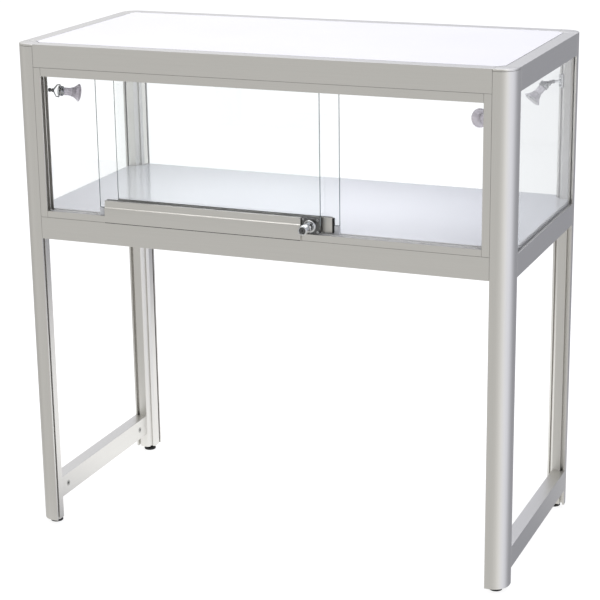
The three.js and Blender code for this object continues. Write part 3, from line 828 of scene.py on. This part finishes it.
class SHOWCASE_OT_tracks(bpy.types.Operator):
    """Upper and lower door tracks and the two side jambs"""

    bl_idname = "showcase.tracks"
    bl_label = "Tracks and jambs"

    LINER = 0.0006

    def comb(self, d, deep, reach):
        """Three walls that stand on a floor, drawn from the front face inwards."""
        step = d.track_wall + d.channel
        points = [(0, 0), (deep, 0)]
        for start in (2 * step, step, 0):
            points += [(start + d.track_wall, reach), (start, reach)]
            if start:
                points += [(start, d.track_wall), (start - d.channel, d.track_wall)]
        return points

    def execute(self, context):
        s, d = context.scene.showcase_frame, context.scene.showcase_doors
        low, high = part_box("door_track_bottom")
        tall, long = high.z - low.z, high.x - low.x
        centre = move((low.x + high.x) / 2)
        lower = soften(centred_bar(self.comb(d, s.seat_depth, tall), long), TRACK_BREAK)
        extrusion("lower_door_track", lower, "aluminium_x",
                  centre @ move(y=FRONT_Y, z=low.z) @ BAR_AXES, "door_track_bottom")
        liners = Piece("track_liners")
        for channel in range(2):
            near = FRONT_Y + d.track_wall + channel * (d.track_wall + d.channel)
            for y in (near + TOUCH, near + d.channel - self.LINER - TOUCH):
                strip = block((low.x + 0.001, y, low.z + d.track_wall + 0.0004),
                              (high.x - 0.001, y + self.LINER, high.z - 0.0002))
                liners.add(soften(strip, 0.00012, 1), "liner")
        liners.done("white_nylon")
        low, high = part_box("door_track_top")
        comb = self.comb(d, s.seat_depth, high.z - low.z)
        upper = soften(centred_bar(comb, long), TRACK_BREAK)
        hung = centre @ move(y=FRONT_Y + s.seat_depth, z=high.z) @ turn("X", 180) @ BAR_AXES
        extrusion("upper_door_track", upper, "aluminium_x", hung, "door_track_top")
        for side, sign in (("left", 1), ("right", -1)):
            low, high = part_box("door_jamb_" + side)
            comb = self.comb(d, s.seat_depth, high.x - low.x)
            jamb = soften(bar(comb, high.z - low.z), TRACK_BREAK)
            back = low.x if sign > 0 else high.x
            axes = Matrix(((0, sign, 0, back), (1, 0, 0, FRONT_Y), (0, 0, 1, low.z), (0, 0, 0, 1)))
            extrusion("side_jamb_" + side, jamb, "aluminium_z", axes, "door_jamb_" + side)
        return {"FINISHED"}


# ---------------------------------------------------------------- operators: doors and lock
def pane_limits(node):
    low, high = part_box(node)
    return low, high, (low.y + high.y) / 2


LIP_INNER, LIP_OUTER = 0.00202, 0.00235  # faces of a door's vinyl lips, from the pane's middle


def seal_strips(piece, d, lane, start, end):
    """Vinyl lips on both sides of a pane, in the mouth of its door rail."""
    top = TRACK_TOP + d.rail_top
    for near, far in ((-LIP_OUTER, -LIP_INNER), (LIP_INNER, LIP_OUTER)):
        low = (start + FINE_BREAK, lane + near, top - 0.003)
        high = (end - FINE_BREAK, lane + far, top + 0.0011)
        piece.add(block(low, high), "vinyl")


RIB_INSET, RIB_PROUD, RIB_HEIGHT = 0.0012, 0.0003, 0.0011


def glide(piece, low, high):
    """A nylon glide with chamfered shoes and two shallow ribs."""
    piece.add(soften(block(low, high), 0.0007, 3), "nylon")
    third = (high.z - low.z) / 3
    for i in (1, 2):
        z = low.z + third * i
        rib = block((low.x + RIB_INSET, low.y - RIB_PROUD, z),
                    (high.x - RIB_INSET, high.y + RIB_PROUD, z + RIB_HEIGHT))
        piece.add(soften(rib, 0.0002), "nylon")


def pocketed(near, far, bottom, top, floor, middle=0.0):
    """A section with a pocket for a pane in its top."""
    left, right = middle - HALF_POCKET, middle + HALF_POCKET
    return [(near, bottom), (far, bottom), (far, top), (right, top), (right, floor),
            (left, floor), (left, top), (near, top)]


def add_ends(d, door):
    """Shoes, and a rubber pad on the rail's end that is open at the top for the pane."""
    for end in ("leading", "trailing"):
        node = door + "_glide_" + end
        piece = Piece(node.replace("glide", "shoe"), door)
        glide(piece, *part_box(node))
        piece.done("white_nylon", [node])
    low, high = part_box(door + "_bumper")
    half = (high.y - low.y) / 2
    pocket = TRACK_TOP + d.rail_top - d.pocket_depth - low.z
    pad = bar(pocketed(-half, half, 0, high.z - low.z, pocket), high.x - low.x)
    place = move(low.x, low.y + half, low.z) @ BAR_AXES
    piece = Piece(door + "_end_pad", door).add(soften(pad, FINE_BREAK), "rubber", place)
    piece.done("black_rubber", [door + "_bumper"])


class SHOWCASE_OT_outer_door(bpy.types.Operator):
    """Outer sliding door: pane, pull rail, shoes and end pad"""

    bl_idname = "showcase.outer_door"
    bl_label = "Outer door"

    NOTCH_INSET, NOTCH_TOP = 0.0072, 0.0112  # cut in the pane over the lock body

    def execute(self, context):
        d = context.scene.showcase_doors
        low, high, lane = pane_limits("outer_door_glass")
        wide, tall = high.x - low.x, high.z - low.z
        start, end = wide - d.lock_width + self.NOTCH_INSET, wide - self.NOTCH_INSET
        top = self.NOTCH_TOP
        outline = [(0, 0), (start, 0), (start, top), (end, top), (end, 0), (wide, 0),
                   (wide, tall), (0, tall)]
        upright = Matrix(((1, 0, 0, low.x), (0, 0, 1, low.y), (0, 1, 0, low.z), (0, 0, 0, 1)))
        pane("outer_door_pane", bar(outline, high.y - low.y), "outer_door_glass", "outer_door",
             upright)

        rail_low, rail_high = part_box("outer_door_pull_rail")
        long = rail_high.x - rail_low.x
        y = lane - FRONT_Y
        face, rear, slot = -d.face_reach, y + HALF_RAIL, HALF_POCKET
        top, floor = d.rail_top, d.rail_top - d.pocket_depth
        grip = top - d.grip_height
        outline = [
            (face, -d.skirt_drop), (face + d.skirt_thickness, -d.skirt_drop),
            (face + d.skirt_thickness, d.rail_lift), (rear, d.rail_lift), (rear, top),
            (y + slot, top), (y + slot, floor), (y - slot, floor), (y - slot, top),
            (face + d.grip_recess, top), (face + d.grip_recess, grip + 0.0030),
            (face + 0.0012, grip + 0.0016), (face, grip + 0.0012),
        ]
        piece = Piece("outer_door_pull_bar", "outer_door")
        place = move((rail_low.x + rail_high.x) / 2, FRONT_Y, TRACK_TOP) @ BAR_AXES
        piece.add(soften(centred_bar(outline, long), 0.00035), "aluminium_x", place)
        seal_strips(piece, d, lane, rail_low.x, high.x)
        low_edge = TRACK_TOP - d.skirt_drop
        # A thin black rubber strip under the skirt, drawn as a wiper: it is painted shadow, the
        # dark line beneath the pull rail.
        painted_shadow_strip = block((rail_low.x + 0.0005, FRONT_Y + face + 0.0003, low_edge - 0.0012),
                      (rail_high.x - 0.0005, FRONT_Y + face + 0.0018, low_edge - 0.00003))
        piece.add(soften(painted_shadow_strip, 0.0003), "rubber")
        piece.done("anodised_aluminium", ["outer_door_pull_rail"])
        add_ends(d, "outer_door")
        return {"FINISHED"}


class SHOWCASE_OT_inner_door(bpy.types.Operator):
    """Inner sliding door: pane, bottom rail with its strike, shoes and end pad"""

    bl_idname = "showcase.inner_door"
    bl_label = "Inner door"

    def execute(self, context):
        d = context.scene.showcase_doors
        low, high, lane = pane_limits("inner_door_glass")
        pane("inner_door_pane", block(low, high), "inner_door_glass", "inner_door")
        rail_low, rail_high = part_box("inner_door_rail")
        long = rail_high.x - rail_low.x
        outline = pocketed(-HALF_RAIL, HALF_RAIL, d.rail_lift, d.rail_top,
                           d.rail_top - d.pocket_depth)
        piece = Piece("inner_door_bar", "inner_door")
        place = move((rail_low.x + rail_high.x) / 2, lane, TRACK_TOP) @ BAR_AXES
        piece.add(soften(centred_bar(outline, long), 0.0003), "aluminium_x", place)
        middle = TRACK_TOP + (d.rail_top + d.rail_lift) / 2
        strike = block((low.x, rail_low.y, middle - 0.007),
                       (low.x + 0.005, lane - HALF_RAIL + 0.0005, middle + 0.007))
        piece.add(soften(strike, 0.0006, 3), "aluminium_z")
        seal_strips(piece, d, lane, rail_low.x, rail_high.x)
        piece.done("anodised_aluminium", ["inner_door_rail"])
        add_ends(d, "inner_door")
        return {"FINISHED"}


class SHOWCASE_OT_lock(bpy.types.Operator):
    """Plunger lock: body on the outer door, sliding barrel and keyed core"""

    bl_idname = "showcase.lock"
    bl_label = "Plunger lock"

    BORE_END = 0.0295  # depth of the core's bore in the plunger
    BOLT = 0.004  # radius of the plunger's bolt
    CORE_FACE, CORE_END = 0.006, 0.028  # depth of the keyway, end of the core
    SCREW_SPREAD = (0.0145, 0.0115)

    def execute(self, context):
        d = context.scene.showcase_doors
        low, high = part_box("lock_body")
        barrel_low, barrel_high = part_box("lock_plunger")
        centre_x = (barrel_low.x + barrel_high.x) / 2
        centre_z = (barrel_low.z + barrel_high.z) / 2
        lane = pane_limits("outer_door_glass")[2]
        pocket = TRACK_TOP + d.rail_top - d.pocket_depth
        facing = Matrix(((1, 0, 0, centre_x), (0, 0, 1, 0), (0, -1, 0, centre_z), (0, 0, 0, 1)))

        body = Piece("lock_housing", "outer_door")
        front = FRONT_Y + 0.001
        outline = pocketed(front, high.y, low.z, high.z, pocket, lane)
        shell = bar(outline, high.x - low.x)
        # The housing's darkened chrome is partly darker plating and partly painted shade.
        body.add(soften(shell, 0.0009, 3), "dark_chrome", move(x=low.x) @ BAR_AXES)
        r = d.barrel_radius
        collar = turned([
            (r + 0.0003, 0.0062), (r + 0.0026, 0.0062), (r + 0.0030, 0.0040), (r + 0.0030, 0.0032),
            (r + 0.0022, 0.0026), (r + 0.0022, 0.0012), (r + 0.0016, 0.0004), (r + 0.0008, 0),
            (r + 0.0003, 0.0004),
        ], 48)
        body.add(collar, "chrome", move(y=low.y) @ facing)
        across, up = self.SCREW_SPREAD
        for x, z in ((-across, up), (across, up), (-across, -up), (across, -up)):
            spot = move(x, front + 0.0001, z) @ facing @ turn("X", 180)
            body.add(hex_screw(0.0020, 0.0005, 0.0010, 20), "chrome", spot)
        body.done("polished_chrome", ["lock_body"], 50.0)

        reach = front - barrel_low.y
        groove = reach - 0.0200
        core = d.core_radius
        plunger = Piece("lock_barrel", "lock_plunger_body")
        end = barrel_high.y - barrel_low.y
        profile = [
            (0, self.BORE_END), (core + 0.0002, self.BORE_END), (core + 0.0002, 0.0008),
            (core + 0.0006, 0.0002), (r - 0.0014, 0), (r - 0.0005, 0.0003), (r, 0.0011),
            (r, groove - 0.0025), (r - 0.0006, groove - 0.0020), (r - 0.0006, groove - 0.0005),
            (r, groove), (r, reach), (self.BOLT, reach), (self.BOLT, end - 0.0006),
            (self.BOLT - 0.0006, end), (0, end),
        ]
        plunger.add(turned(profile, 48), "chrome", move(y=barrel_low.y) @ facing)
        plunger.done("polished_chrome", ["lock_plunger"], 50.0)

        core_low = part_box("lock_core")[0]
        core -= SLIP
        keyway = Matrix.Diagonal((0.36, 1.0, 1.0, 1.0)) @ turn("Z", 22.5)
        face = pierced_disc(core, self.CORE_FACE, 40, 0.0026, 8, keyway)
        back = self.CORE_FACE + 0.0001
        inside = turned([(0, back), (core, back), (core, self.CORE_END), (0, self.CORE_END)], 40)
        keyed = Piece("lock_keyed_core", "lock_core_body")
        place = move(y=core_low.y) @ facing
        # The core's face is darkened chrome, partly darker plating and partly painted shade; the
        # black inside, seen through the keyhole, is painted shadow.
        keyed.add(soften(face, 0.0003), "dark_chrome", place).add(inside, "keyway", place)
        keyed.done("polished_chrome", ["lock_core"], 50.0)
        return {"FINISHED"}


# ---------------------------------------------------------------- operators: lamps
class SHOWCASE_OT_lamps(bpy.types.Operator):
    """Four small reflector lamps: base, swivelling fork and tilting head"""

    bl_idname = "showcase.lamps"
    bl_label = "Lamps"

    CLIP_HEIGHT, SCREW_SPREAD, STRAP_WIDTH = 0.026, 0.0088, 0.005

    # How far each fork is swivelled and each head tilted, in degrees.
    AIM = {
        "front_left": (90, 0), "front_right": (90, 0),
        "rear_right": (0, 35), "rear_left": (0, 20),
    }

    def base(self, s, lamps, corner, place):
        tongue = s.diagonal_width / 2 - 0.0003
        plate = [(-0.004, -tongue), (0.0003, -tongue), (0.0003, -0.006), (0.0043, -0.006),
                 (0.0043, 0.006), (0.0003, 0.006), (0.0003, tongue), (-0.004, tongue)]
        piece = Piece("lamp_clip_" + corner)
        plate = soften(bar(plate, self.CLIP_HEIGHT), 0.0006, 3)
        piece.add(plate, "chrome", place @ move(z=-self.CLIP_HEIGHT / 2))
        for z in (-self.SCREW_SPREAD, self.SCREW_SPREAD):
            spot = place @ move(0.0042, 0, z) @ turn("Y", 90)
            piece.add(hex_screw(0.0025, 0.0009, 0.0013), "zinc", spot)
        reach = lamps.ball_reach
        stem = turned([
            (0, 0.0040), (0.0042, 0.0040), (0.0042, 0.0056), (0.0030, 0.0062), (0.0025, 0.0072),
            (0.0025, reach - 0.0050), (0.0018, reach - 0.0034), (0, reach - 0.0030),
        ], 28)
        piece.add(stem, "chrome", place @ turn("Y", 90))
        ball = bmesh.new()
        bmesh.ops.create_uvsphere(ball, u_segments=28, v_segments=18, radius=lamps.ball_radius)
        # The ball's darkened chrome is partly darker plating and partly painted shade.
        piece.add(ball, "dark_chrome", place @ move(reach))
        piece.done("polished_chrome", ["lamp_base_" + corner], 50.0)

    def fork(self, lamps, corner, place):
        """Two spread arms from a cupped hub to the trunnion screws."""
        start = lamps.ball_radius + 0.0003
        crotch = start + 0.004
        inside = lamps.drum_radius + 0.0007
        outside = inside + 0.0014
        bend = crotch + inside / 2
        tip = lamps.trunnion_reach + 0.003
        upper = [(tip, inside), (tip, outside), (bend, outside), (crotch - 0.001, 0.0032),
                 (start, 0.0032)]
        lower = [(x, -y) for x, y in reversed(upper)]
        hollow = [(bend + 0.0004, -inside), (crotch, -0.001), (crotch, 0.001),
                  (bend + 0.0004, inside)]
        piece = Piece("lamp_yoke_" + corner, "fork_" + corner)
        strap = soften(bar(upper + lower + hollow, self.STRAP_WIDTH), FINE_BREAK)
        # The strap and cup are darkened chrome, partly darker plating and partly painted shade.
        piece.add(strap, "dark_chrome", place @ move(z=-self.STRAP_WIDTH / 2))
        cup = turned([(0.0026, start + 0.0002), (0.0036, start), (0.0040, start + 0.0012),
                      (0.0036, start + 0.0030), (0.0026, start + 0.0030)], 28)
        piece.add(cup, "dark_chrome", place @ turn("Y", 90))
        for sign in (-1, 1):
            spot = place @ move(lamps.trunnion_reach, sign * (outside - 0.0002))
            screw = hex_screw(0.0021, 0.0008, 0.0011, 20)
            piece.add(screw, "zinc", spot @ turn("X", -90 * sign))
        piece.done("polished_chrome", ["lamp_fork_" + corner])

    SOCKET_TOP, BOWL_START, BOWL_EDGE, RIM_TOP = 0.0092, 0.0250, 0.0404, 0.0412

    def head(self, lamps, corner, place):
        """Socket, frosted neck, coated reflector, its capsule and the cover glass."""
        drum, neck, rim = lamps.drum_radius, lamps.neck_radius, lamps.reflector_radius
        seat, bowl = self.SOCKET_TOP + 0.0001, self.BOWL_START + 0.0001
        piece = Piece("lamp_spot_" + corner, "head_" + corner)
        socket = turned([
            (0, -0.0010), (drum - 0.0022, -0.0010), (drum - 0.0008, -0.0003), (drum, 0.0008),
            (drum, 0.0030), (drum - 0.0006, 0.0034), (drum - 0.0006, 0.0046), (drum, 0.0050),
            (drum, 0.0080), (drum - 0.0008, 0.0090), (neck + 0.0006, self.SOCKET_TOP),
            (0, self.SOCKET_TOP),
        ], 40)
        # The socket's half-darkened chrome is partly satin plating and partly painted shade.
        piece.add(socket, "grey_chrome", place)
        throat = turned([
            (0, seat), (neck, seat), (neck, 0.0230), (neck + 0.0010, self.BOWL_START),
            (0, self.BOWL_START),
        ], 40)
        piece.add(throat, "lamp_neck", place)
        outer = [(neck + 0.0010, bowl), (neck + 0.0018, 0.0280), (neck + 0.0032, 0.0315),
                 (neck + 0.0054, 0.0350), (neck + 0.0080, 0.0382), (rim, self.BOWL_EDGE),
                 (rim, self.RIM_TOP)]
        inner = [(rim - 0.0010, self.RIM_TOP), (rim - 0.0012, 0.0406), (neck + 0.0068, 0.0382),
                 (neck + 0.0042, 0.0350), (neck + 0.0020, 0.0315), (neck + 0.0006, 0.0280),
                 (neck - 0.0004, 0.0258), (0.0030, 0.0256), (0.0030, bowl)]
        piece.add(turned(outer + inner, 40), "reflector", place)
        capsule = turned([(0, 0.0280), (0.0026, 0.0281), (0.0028, 0.0340), (0.0018, 0.0356),
                          (0, 0.0362)], 20)
        piece.add(capsule, "lamp_cover", place)
        hub = turned([(0, 0.0266), (0.0064, 0.0266), (0.0095, 0.0330), (0.0090, 0.0331),
                      (0.0055, 0.0276), (0, 0.0278)], 32)
        # The hub's darkened chrome is partly darker plating and partly painted shade.
        piece.add(hub, "dark_chrome", place)
        cover = turned([(0, self.BOWL_EDGE), (rim - 0.0024, self.BOWL_EDGE), (rim - 0.0017, 0.0407),
                        (rim - 0.0019, 0.0410), (0, 0.0411)], 40)
        piece.add(cover, "lamp_cover", place)
        piece.done("lamp_glass", ["lamp_head_" + corner], 38.0)

    def execute(self, context):
        s, lamps = context.scene.showcase_frame, context.scene.showcase_lamps
        middle = (s.post_size + s.seat_depth) / 2
        for corner, (swing, aim) in self.AIM.items():
            clip = corner_place(corner) @ move(middle, middle, lamps.height) @ turn("Z", 45)
            self.base(s, lamps, corner, clip)
            droop = turn("Y", math.degrees(lamps.droop))
            yoke = clip @ move(lamps.ball_reach) @ droop @ turn("X", swing)
            self.fork(lamps, corner, yoke)
            tilt = turn("Y", aim) @ turn("Y", 90)
            self.head(lamps, corner, yoke @ move(lamps.trunnion_reach) @ tilt)
        return {"FINISHED"}


# ---------------------------------------------------------------- operator: stage
SENSOR_WIDTH = 36.0
FLOOR_GREY = 0.34
FLOOR_GLOW = 0.82
SWEEP_GLOW = 1.12
SWEEP_PLACE = (-0.3, 0.7, -0.001)
SWEEP_CORE = 0.45
WARM_SIDE, COOL_SIDE = (1.0, 0.99, 0.97), (0.89, 0.905, 1.0)
COOL_DIRECTION = (0.75, 0.55, 0.35)

# Where the room is brighter or darker than 1: direction, how tight, change of brightness.
LOBES = [
    ((0.38, 0.88, -0.29), 0.45, -0.60),
    ((-0.36, -0.88, -0.29), 0.30, -0.36),
    ((0.92, -0.36, -0.05), 0.80, 0.10),
    ((-0.38, 0.88, 0.29), 0.72, -0.10),
    ((-0.87, 0.39, -0.29), 0.62, -0.45),
    ((0.25, -0.72, 0.65), 0.72, -0.70),
    ((-0.80, -0.45, 0.40), 0.88, -0.60),
]

# Place, target, width and height, power, whether shiny surfaces see it.
LIGHTS = {
    "overhead_softbox": ((0, 0.2, 3.2), (0, 0, 0.8), (3.0, 2.4), 40, True),
    "corner_softbox": ((3.2, -2.6, 2.2), (0.4, -0.2, 0.6), (0.5, 2.2), 6, True),
    "case_fill": ((0, 0.02, 0.95), (0, 0.02, 0.6), (0.8, 0.3), 1.3, False),
}


class SHOWCASE_OT_stage(bpy.types.Operator):
    """Pale floor, soft studio light and the camera"""

    bl_idname = "showcase.stage"
    bl_label = "Stage"

    def camera(self, scene, s):
        a, b, c = s.yaw, s.pitch, s.roll
        ahead = Vector((-math.sin(a) * math.cos(b), math.cos(a) * math.cos(b), -math.sin(b)))
        right = Vector((math.cos(a), math.sin(a), 0))
        up = right.cross(ahead)
        leaning_right = math.cos(c) * right + math.sin(c) * up
        leaning_up = -math.sin(c) * right + math.cos(c) * up
        data = bpy.data.cameras.new("camera")
        data.sensor_width = SENSOR_WIDTH
        data.lens = s.lens
        data.clip_end = 200.0
        camera = bpy.data.objects.new("camera", data)
        turn = Matrix((leaning_right, leaning_up, -ahead)).transposed().to_4x4()
        camera.matrix_world = Matrix.Translation(s.camera_place) @ turn
        scene.collection.objects.link(camera)
        scene.camera = camera

    def card(self, scene, name, part, material):
        """A flat piece of the stage."""
        mesh = bpy.data.meshes.new(name)
        part.to_mesh(mesh)
        part.free()
        mesh.materials.append(material)
        card = bpy.data.objects.new(name, mesh)
        scene.collection.objects.link(card)
        return card

    def floor(self, scene, s):
        part = bmesh.new()
        bmesh.ops.create_grid(part, x_segments=1, y_segments=1, size=s.floor_size)
        material = new_material("pale_floor", {
            "Base Color": (FLOOR_GREY, FLOOR_GREY, FLOOR_GREY, 1), "Roughness": 0.9,
            "Specular IOR Level": 0.1, "Emission Color": (1, 1, 1, 1),
            "Emission Strength": FLOOR_GLOW,
        })[0]
        self.card(scene, "floor", part, material).visible_glossy = False

    def sweep(self, scene, s):
        """The bright part of the sweep behind the legs, which only shiny surfaces see."""
        part = bmesh.new()
        add_circle(part, s.sweep_size, 64, filled=True)
        material, tree, shader, vector = new_material("bright_sweep", {
            "Base Color": (0, 0, 0, 1), "Emission Color": (1, 1, 1, 1),
            "Emission Strength": SWEEP_GLOW,
        })
        far = vector_node(tree, "LENGTH", {0: vector}).outputs["Value"]
        fade = map_range(tree, far, 1.0, 0.0, s.sweep_size * SWEEP_CORE, s.sweep_size, "SMOOTHSTEP")
        tree.links.new(fade, shader["Alpha"])
        card = self.card(scene, "sweep", part, material)
        card.matrix_world = move(*SWEEP_PLACE)
        for kind in ("camera", "diffuse", "transmission", "shadow"):
            setattr(card, "visible_" + kind, False)

    def world(self, scene):
        """A soft white room with a few darker and brighter regions for the metal to reflect."""
        world = bpy.data.worlds.new("soft_room")
        world.use_nodes = True
        tree = world.node_tree
        outwards = make_node(tree, "ShaderNodeTexCoord", {}).outputs["Generated"]

        def towards(direction):
            inputs = {0: outwards, 1: Vector(direction).normalized()}
            return vector_node(tree, "DOT_PRODUCT", inputs).outputs["Value"]

        total = 1.0
        for direction, begin, change in LOBES:
            lobe = map_range(tree, towards(direction), 0.0, change, begin, 1.0, "SMOOTHSTEP")
            total = math_node(tree, "ADD", lobe, total)
        cool = map_range(tree, towards(COOL_DIRECTION), 0.0, 1.0, end=0.4)
        background = tree.nodes["Background"].inputs
        tree.links.new(mix_colours(tree, cool, WARM_SIDE, COOL_SIDE), background["Color"])
        tree.links.new(total, background["Strength"])
        scene.world = world

    def light(self, scene, name, place, target, size, power, glossy):
        data = bpy.data.lights.new(name, "AREA")
        data.shape = "RECTANGLE"
        data.size, data.size_y = size
        data.energy = power
        light = bpy.data.objects.new(name, data)
        aim = (Vector(target) - Vector(place)).to_track_quat("-Z", "Y").to_matrix().to_4x4()
        light.matrix_world = Matrix.Translation(place) @ aim
        light.visible_camera = False
        light.visible_glossy = glossy
        scene.collection.objects.link(light)

    def execute(self, context):
        scene = context.scene
        s = scene.showcase_stage
        scene.view_settings.view_transform = "Standard"
        self.camera(scene, s)
        self.floor(scene, s)
        self.sweep(scene, s)
        self.world(scene)
        for name, values in LIGHTS.items():
            self.light(scene, name, *values)
        return {"FINISHED"}


# ---------------------------------------------------------------- panel, registration, run
OPERATORS = [
    SHOWCASE_OT_stage, SHOWCASE_OT_posts, SHOWCASE_OT_rails, SHOWCASE_OT_feet,
    SHOWCASE_OT_panels, SHOWCASE_OT_fixed_glass, SHOWCASE_OT_tracks, SHOWCASE_OT_outer_door,
    SHOWCASE_OT_inner_door, SHOWCASE_OT_lock, SHOWCASE_OT_lamps,
]


class SHOWCASE_PT_pieces(bpy.types.Panel):
    """Buttons and sizes of the showcase"""

    bl_idname = "SHOWCASE_PT_pieces"
    bl_label = "Display showcase"
    bl_space_type = "VIEW_3D"
    bl_region_type = "UI"
    bl_category = "Showcase"

    def draw(self, context):
        layout = self.layout
        for operator in OPERATORS:
            layout.operator(operator.bl_idname, text=operator.bl_label)
        for name, group in SETTINGS.items():
            box = layout.box()
            settings = getattr(context.scene, name)
            for label in group.__annotations__:
                box.prop(settings, label)


def register():
    for name, group in SETTINGS.items():
        bpy.utils.register_class(group)
        setattr(bpy.types.Scene, name, bpy.props.PointerProperty(type=group))
    for operator in OPERATORS:
        bpy.utils.register_class(operator)
    bpy.utils.register_class(SHOWCASE_PT_pieces)


def unregister():
    bpy.utils.unregister_class(SHOWCASE_PT_pieces)
    for operator in reversed(OPERATORS):
        bpy.utils.unregister_class(operator)
    for name, group in reversed(SETTINGS.items()):
        delattr(bpy.types.Scene, name)
        bpy.utils.unregister_class(group)


def main():
    register()
    for operator in OPERATORS:
        family, action = operator.bl_idname.split(".")
        getattr(getattr(bpy.ops, family), action)()


if __name__ == "__main__":
    main()
